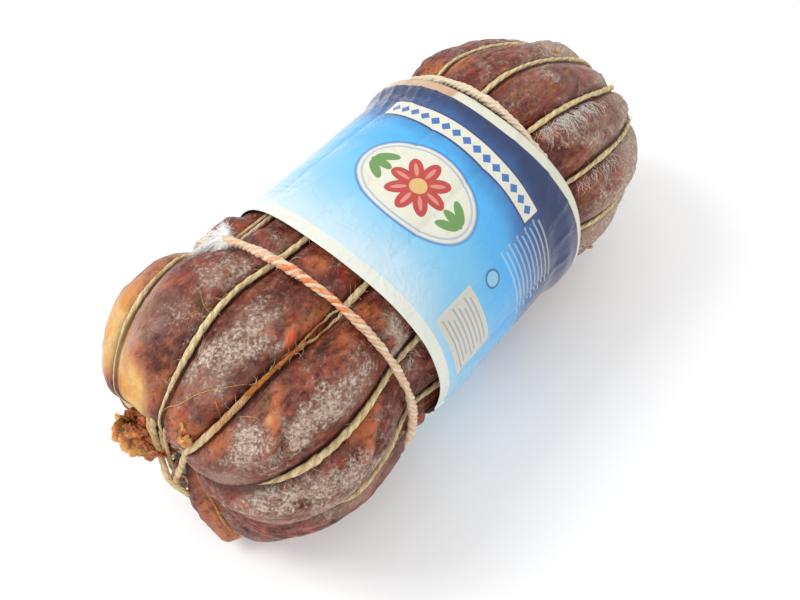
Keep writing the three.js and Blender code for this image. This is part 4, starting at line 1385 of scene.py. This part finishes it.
def tie_shader(name, strength):
    """Cream plies with salmon ones between them, which show with that strength."""
    shader = Shader(name)
    odd = shader.math("PINGPONG", shader.attribute("ply"), 1.0)
    fine = shader.noise(0.8, 4, 0.75)
    threads = shader.ramp(fine, 0.3, 0.6)
    cream = shader.mix(threads, lit(240, 208, 164), lit(255, 246, 220))
    salmon = shader.mix(threads, lit(232, 98, 42), lit(255, 154, 92))
    striped = shader.plus(0.2, shader.ramp(odd, 0.05, 0.65), 0.8)
    share = shader.times(striped, shader.attribute("salmon"))
    share = shader.times(share, shader.cloud(4, 0.3, 0.46, detail=2, roughness=0.5))
    shader.colour = shader.mix(shader.times(share, strength), cream, salmon)
    shader.lay(shader.cloud(2.2, 0.42, 0.6, detail=3), lit(240, 206, 172), 0.1 + 0.4 * strength)
    # Painted shade in the grooves between the plies, stronger with the strength
    shader.lay(shader.attribute("hollow"), lit(186, 120, 82), 0.2 + 0.16 * strength)
    shader.set(Base_Color=shader.colour, Roughness=0.9, Specular_IOR_Level=0.2)
    shader.set(Normal=shader.bump(fine, 0.3))
    return shader.material


def make_ties():
    near_material = tie_shader("near_tie_twine", 1.0)
    far_material = tie_shader("far_tie_twine", 0.1)
    radius = TIE_DIAMETER / 2 * TIE_PULLED_IN
    for name, tie_x, clearance, material in (
        ("near_tie", NEAR_TIE_X, TIE_CLEARANCE, near_material),
        ("far_tie", FAR_TIE_X, FAR_TIE_CLEARANCE, far_material),
    ):
        frames = tie_frames(tie_x, clearance)
        part = rope(*frames, radius, TIE_PLIES, TIE_PITCH, 24, 81, 0.26, 0.3, ring=True)
        angle = np.degrees(np.arctan2(part[0][:, 2], part[0][:, 1]))
        part[2]["salmon"] = 0.35 + 1.1 * bell(turn_from(SALMON_ANGLE, angle) / 16)
        add_piece(f"{name}_rope", part, material, name)
    x = np.arange(NEAR_TIE_X + 1, LABEL_NEAR_X + 4, 0.6)
    s = station_of_x(x)
    degrees = run_angle(0, x) + np.degrees(LINK_ASIDE / profile_at(s)[1])
    link = rope(*cord_frames(s, degrees, LINK_RADIUS, 0.1), LINK_RADIUS, 2, 6.0, 18, 83, 0.1, 0.3)
    link[2]["salmon"] = np.full(len(link[0]), 0.55)
    add_piece("tie_link", link, near_material, "near_tie")


# The near tie's knot: a soft core and frayed ends, each frayed lot as its path from the knot and
# its spread, in millimetres
KNOT_ANGLE = 60
# The core's share of the spread, and its sides and folding
CORE_SHARE, CORE_SIDES, CORE_FOLDS = 0.72, 40, 0.15
FRAYED_RADIUS = 0.1
FRAYED_PLACES = 10
ROUTE_POINTS, CORE_POINTS = 60, 46
FRAYED = [
    ([(1, 0, 0.6), (-4, -1.5, 2.2), (-9, -3.8, 1.6), (-15, -7.4, -0.6)], 2.5, 560),
    ([(1, 0, 0), (-1.0, -2.5, 2.2), (-2.2, -5.0, 2.0), (-3.6, -7.6, 0.4)], 3.1, 520),
    ([(1, 0, 0.6), (1.5, -1.5, 2.6), (2.5, -3.4, 2.6), (3.6, -5.4, 1.6)], 2.5, 420),
    ([(0, 2, 0), (-3, 2.5, 1.0), (-6, 1.8, 0.6)], 2.2, 260),
]


def knot_axes():
    """The knot's middle, and the ways along the sausage, round it and outwards there."""
    centre = surface_at(station_of_x(NEAR_TIE_X + 0.4), KNOT_ANGLE, TIE_HEIGHT + 0.4)
    angle = np.radians(KNOT_ANGLE)
    round_way = [0, -np.sin(angle), np.cos(angle)]
    return centre, np.array([[1.0, 0, 0], round_way, on_tube(0, 1, angle)])


def frayed_lines(rng, route, spread, count):
    """Fibres that lie about a route and stray from it."""
    begin = rng.uniform(0, 0.75, count)
    length = rng.uniform(0.12, 0.5, count)
    out_along = np.linspace(0, 1, FRAYED_PLACES)
    places = np.clip(begin[:, None] + length[:, None] * out_along, 0, 1)
    share = np.linspace(0, 1, len(route))
    middles = np.stack([np.interp(places, share, route[:, i]) for i in range(3)], -1)
    ball = unit(rng.normal(size=(count, 1, 3)))
    thick = spread * (0.75 - 0.3 * places)[..., None] * rng.uniform(0.5, 1.25, (count, 1, 1))
    wander = rng.normal(0, 1, (count, 1, 3)) * out_along[:, None] ** 2 * 1.1
    return middles + ball * thick + wander


def make_knot():
    rng = np.random.default_rng(19)
    centre, axes = knot_axes()
    cores, lines = [], []
    share = np.linspace(0, 1, ROUTE_POINTS)
    for k, (path, spread, count) in enumerate(FRAYED):
        route = centre + spline_through(path, ROUTE_POINTS) @ axes
        radii = spread * CORE_SHARE * np.sqrt(np.clip(share * 6, 0.02, 1)) * (1 - 0.75 * share)
        core = slice(0, CORE_POINTS)
        free = np.full(CORE_POINTS, CORE_FOLDS)
        cores.append(crumpled(route[core], radii[core], axes[2], CORE_SIDES, 101 + 7 * k, free))
        lines.append(frayed_lines(rng, route, spread, count))
    shader = Shader("frayed_cotton")
    shader.colour = srgb(248, 246, 240)
    shader.lay(shader.cloud(3.5, 0.58, 0.75, detail=2, roughness=0.5), srgb(250, 224, 196), 0.2)
    shader.set(Base_Color=shader.colour, Roughness=0.95, Specular_IOR_Level=0.5)
    shader.set(Sheen_Weight=1.0, Sheen_Roughness=0.5)
    fibres = hairs(np.concatenate(lines), FRAYED_RADIUS)
    for name, part in (("knot_core", join(cores)), ("knot_fibres", fibres)):
        add_piece(name, part, shader.material, "near_tie")


# The printed sleeve
LABEL_COLUMNS = 28
LABEL_ROWS = 110
NEAR_BORDER = 4.6
FAR_BORDER = 3.8
# The radius at which the film's waves are worked out
FILM_GRAIN_RADIUS = 48


def label_edges(degrees):
    angle = np.radians(degrees)
    near = LABEL_NEAR_X + 1.6 * np.cos(3 * (angle - np.radians(150)))
    far = LABEL_FAR_X + 1.6 * np.cos(2 * (angle - np.radians(155)))
    return near, far - 2.8 * bell(turn_from(108, degrees) / 28)


# Creases of the film, each from (x, angle) to (x, angle), then its width and height in millimetres
CREASES = [
    ((37, 40), (20, 50), 0.8, 0.55),
    ((37, 50), (19, 57), 0.7, 0.5),
    ((37, 58), (22, 63), 0.8, -0.4),
    ((36, 66), (24, 70), 0.7, 0.5),
    ((36, 74), (27, 76), 0.8, 0.35),
    ((34, 84), (29, 86), 0.9, 0.3),
    ((30, 44), (24, 72), 1.2, 0.45),
    ((36, 112), (31, 116), 0.9, 0.3),
    ((37, 128), (30, 140), 1.1, 0.45),
    ((38, 146), (28, 150), 1.0, 0.5),
    ((36, 158), (27, 163), 1.0, 0.45),
    ((35, 172), (26, 176), 1.2, 0.5),
    ((-34, 62), (-22, 66), 1.0, 0.3),
    ((-36, 150), (-26, 158), 1.1, 0.35),
    ((-35, 172), (-22, 168), 1.2, 0.4),
    ((-44, 195), (-31, 197), 1.3, -1.2),
    ((-44, 203), (-32, 202), 1.2, 1.0),
    ((-44, 187), (-33, 189), 1.0, 0.7),
    ((-43, 20), (-32, 24), 1.2, -0.6),
]


def label_layer(shares, outwards):
    """Rows of the sleeve; outwards is the height over its inside."""
    run = np.repeat(np.arange(RUN_COUNT), LABEL_COLUMNS)[None]
    step = np.tile(np.arange(LABEL_COLUMNS) / LABEL_COLUMNS, RUN_COUNT)[None]
    rough = LABEL_NEAR_X + (LABEL_FAR_X - LABEL_NEAR_X) * shares[:, None]
    degrees = run_angle(run, rough) * (1 - step) + run_angle(run + 1, rough) * step
    angle = np.radians(degrees)
    near, far = label_edges(degrees)
    x = near + (far - near) * shares[:, None]
    middle_part = smooth(x, -38, -26) * smooth(-x, -27, -18)
    dip = 0.8 * (1 - arched(step, 0.5)) * middle_part
    far_flare = 1.9 - 1.1 * bell(turn_from(85, degrees) / 30)
    drawn_in = bell(turn_from(22, degrees) / 26) + 2.2 * bell(turn_from(204, degrees) / 22)
    drawn_in = np.clip(drawn_in, 0, 2.2) * (1 - smooth(x - near, 0, 12))
    open_rim = 0.9 * bell(turn_from(113, degrees) / 60) * (1 - smooth(x - near, 0, 16))
    opened = open_rim - drawn_in + far_flare * smooth(x, 27, 35)
    place = on_tube(x, FILM_GRAIN_RADIUS, angle)
    wave = 0.22 * lattice_noise(place, 13, 21) + 0.08 * lattice_noise(place, (4, 7, 7), 22)
    bent = x + 0.8 * lattice_noise(place, 6, 23)
    for start, end, breadth, height in CREASES:
        wave = wave + height * ridge_line(bent, degrees, start, end, breadth, 0.5)
    radius = LABEL_INSIDE_RADIUS - dip + opened + outwards + wave
    points = on_tube(x, radius, angle, middle_at(x, CAP_RADIUS))
    return settle(points, LABEL_CLEARANCE + LABEL_THICKNESS - outwards), x, degrees, near, far


def arc_to(degrees):
    """The length round the sleeve to an angle, in millimetres."""
    return np.radians(degrees) * SLEEVE_MIDDLE_RADIUS


def make_label(material):
    edge = np.linspace(0, 1, LABEL_ROWS)
    outside, x, degrees, near, far = label_layer(edge, LABEL_THICKNESS)
    inside = label_layer(edge[::-1], LABEL_THICKNESS - FILM_THICKNESS)[0]
    rows = np.concatenate([outside, inside])
    # The print's own seam lies underneath
    around = arc_to((degrees + 90) % 360 - 90)
    values = {"across": x, "around": around, "from_near": x - near, "from_far": far - x}
    values = {key: np.concatenate([value, value[::-1]]) for key, value in values.items()}
    faces = flipped(grid_faces(*rows.shape[:2], closed_rows=True))
    add_piece("label_film", (rows.reshape(-1, 3), faces, values), material, "label_sleeve")


class Print(Shader):
    """The film's shader, with simple shapes laid on it, in millimetres along and round it."""

    def __init__(self, name):
        super().__init__(name)
        across, around = self.attribute("across"), self.attribute("around")
        self.sheet = self.node("ShaderNodeCombineXYZ", X=across, Y=around).outputs[0]

    def local(self, x, degrees, turn):
        moved = self.vector("SUBTRACT", self.sheet, (x, float(arc_to(degrees)), 0.0))
        about = {"rotation_type": "Z_AXIS"}
        turned = self.node("ShaderNodeVectorRotate", about, Vector=moved, Angle=-float(np.radians(turn)))
        return turned.outputs[0]

    def box(self, x, degrees, half_along, half_round, turn=0.0, corner=0.5, edge=0.12):
        """1 inside a rounded box, 0 outside."""
        p = self.vector("ABSOLUTE", self.local(x, degrees, turn))
        p = self.vector("SUBTRACT", p, (half_along - corner, half_round - corner, 0.0))
        away = self.vector("LENGTH", self.vector("MAXIMUM", p), output=1)
        return self.ramp(away, corner + edge, corner - edge)

    def ellipse(self, x, degrees, half_along, half_round, turn=0.0, edge=0.03):
        p = self.vector("DIVIDE", self.local(x, degrees, turn), (half_along, half_round, 1.0))
        return self.ramp(self.vector("LENGTH", p, output=1), 1 + edge, 1 - edge)


CREAM, NAVY, RING_BLUE = lit(236, 234, 216), lit(44, 62, 124), lit(70, 130, 200)
BAND_PLACE = (21.5, 101)
# Lozenges to either side of the band's middle, and their step in degrees
LOZENGES, LOZENGE_STEP = 7, 5.2
ROSETTE_PLACE = (-4, 101)
ROSETTE_PETALS = 8
PETAL_RING = 6.4
# Panels of thin bars: first bar's place and angle, step, count, half breadth, half length, how much
# shorter the bars get and in how many steps, colour and strength
BARS = [
    (-28.6, 157, 1.9, 8, 0.35, 11, 1.5, 3, lit(150, 152, 160), 0.7),
    (4, 160, 2.2, 10, 0.4, 15, 1.6, 2, lit(206, 224, 236), 0.5),
    (-29, 50, 3.0, 9, 0.5, 10, 1.3, 2, lit(150, 196, 228), 0.6),
]


def print_band(film):
    """A straight cream band with a row of lozenges."""
    x, degrees = BAND_PLACE
    film.lay(film.box(x, degrees, 4.3, 35, 0, 0.6), NAVY)
    film.lay(film.box(x, degrees, 3.5, 34.2, 0, 0.4), CREAM)
    for k in range(-LOZENGES, LOZENGES + 1):
        lozenge = film.box(x, degrees + LOZENGE_STEP * k, 1.35, 1.35, 45, 0.15)
        film.lay(lozenge, lit(62, 116, 190))


def print_rosette(film):
    """A cream oval with a ring, a rosette of red petals and leaves at both sides."""
    x, degrees = ROSETTE_PLACE
    for half_along, half_round, colour, strength in (
        (15.6, 23.4, RING_BLUE, 1), (14.8, 22.6, CREAM, 1), (13.6, 21.2, RING_BLUE, 0.8),
        (13.2, 20.8, CREAM, 1),
    ):
        film.lay(film.ellipse(x, degrees, half_along, half_round), colour, strength)
    for side in (-1, 1):
        for lean in (-32, 0, 32):
            leaf = film.ellipse(x + 0.1 * lean, degrees + 18 * side, 1.6, 4.2, lean * side)
            film.lay(leaf, lit(110, 158, 84))
    for k in range(ROSETTE_PETALS):
        turn = 2 * np.pi * k / ROSETTE_PETALS
        at_x = x + PETAL_RING * np.cos(turn)
        at_degrees = degrees + np.degrees(PETAL_RING * np.sin(turn) / SLEEVE_MIDDLE_RADIUS)
        lean = np.degrees(turn)
        film.lay(film.ellipse(at_x, at_degrees, 4.6, 2.5, lean), lit(196, 64, 58))
        film.lay(film.ellipse(at_x, at_degrees, 2.6, 0.7, lean, 0.2), lit(236, 160, 146), 0.8)
    film.lay(film.ellipse(x, degrees, 3.0, 3.0), lit(232, 190, 120))


def print_bars(film, x, degrees, step, count, half_along, half_round, shorter, cycle, colour, strength):
    for k in range(count):
        length = half_round - shorter * (k % cycle)
        film.lay(film.box(x + step * k, degrees, half_along, length, 0, 0.2), colour, strength)


def print_small_panels(film):
    """Panels of thin bars, low on one side and high on the other, and a ring between them."""
    film.lay(film.box(-22, 157, 9.0, 13, 0, 0.6), lit(216, 214, 202))
    print_bars(film, *BARS[0])
    film.lay(film.ellipse(-4, 148, 3.4, 3.4), NAVY, 0.7)
    film.lay(film.ellipse(-4, 148, 2.6, 2.6), lit(150, 205, 235))
    print_bars(film, *BARS[1])
    print_bars(film, *BARS[2])


# The film's blues from the near rim to the far one: where each comes in along it, and its colour
BLUES = [(-6, 14, lit(74, 184, 250)), (15, 29, lit(40, 106, 174)), (27, 38, lit(22, 48, 98))]
BORDER_EDGE = 0.15


def label_shader():
    film = Print("printed_film")
    around = film.attribute("around")
    seen = film.ramp(around, arc_to(255), arc_to(205))
    low = film.times(film.times(film.ramp(around, arc_to(118), arc_to(170)), 11.0), seen)
    drift = film.plus(film.attribute("across"), film.noise(14, 3, 0.5), 12.0)
    drift = film.math("ADD", drift, low)
    film.colour = film.mix(film.ramp(drift, -34, -6), lit(212, 236, 246), lit(124, 204, 244))
    for begin, end, blue in BLUES:
        film.lay(film.ramp(drift, begin, end), blue)
    print_small_panels(film)
    print_band(film)
    print_rosette(film)
    from_near = film.attribute("from_near")
    film.lay(film.ramp(from_near, NEAR_BORDER + BORDER_EDGE, NEAR_BORDER - BORDER_EDGE), lit(238, 240, 228))
    narrowing = film.times(film.times(film.ramp(around, arc_to(132), arc_to(172)), 2.2), seen)
    from_far = film.math("ADD", film.attribute("from_far"), narrowing)
    far_edge = film.ramp(from_far, FAR_BORDER + BORDER_EDGE, FAR_BORDER - BORDER_EDGE)
    film.lay(far_edge, lit(230, 228, 208))
    clear = film.times(far_edge, film.ramp(around, arc_to(84), arc_to(82.5)))
    tan = film.mix(film.noise(4, 3, 0.6), lit(196, 140, 98), lit(232, 200, 170))
    film.lay(film.times(clear, film.ramp(around, arc_to(36), arc_to(46))), tan)
    film.set(Base_Color=film.colour, Roughness=0.22, Specular_IOR_Level=0.5)
    film.set(Coat_Weight=0.35, Coat_Roughness=0.1)
    wrinkled = film.ridges(11, 9.0, film.vector("ADD", film.place, (0.2, 0.4, 0.1)))
    height = film.plus(film.noise(5, 4, 0.6), wrinkled, 0.5)
    film.set(Normal=film.bump(height, 0.4))
    return film.material


make_camera()
make_light()
make_floor()
make_skin(skin_shader())
make_tufts(tuft_shader())
make_twine(twine_shader())
make_hairs()
make_ties()
make_knot()
make_label(label_shader())
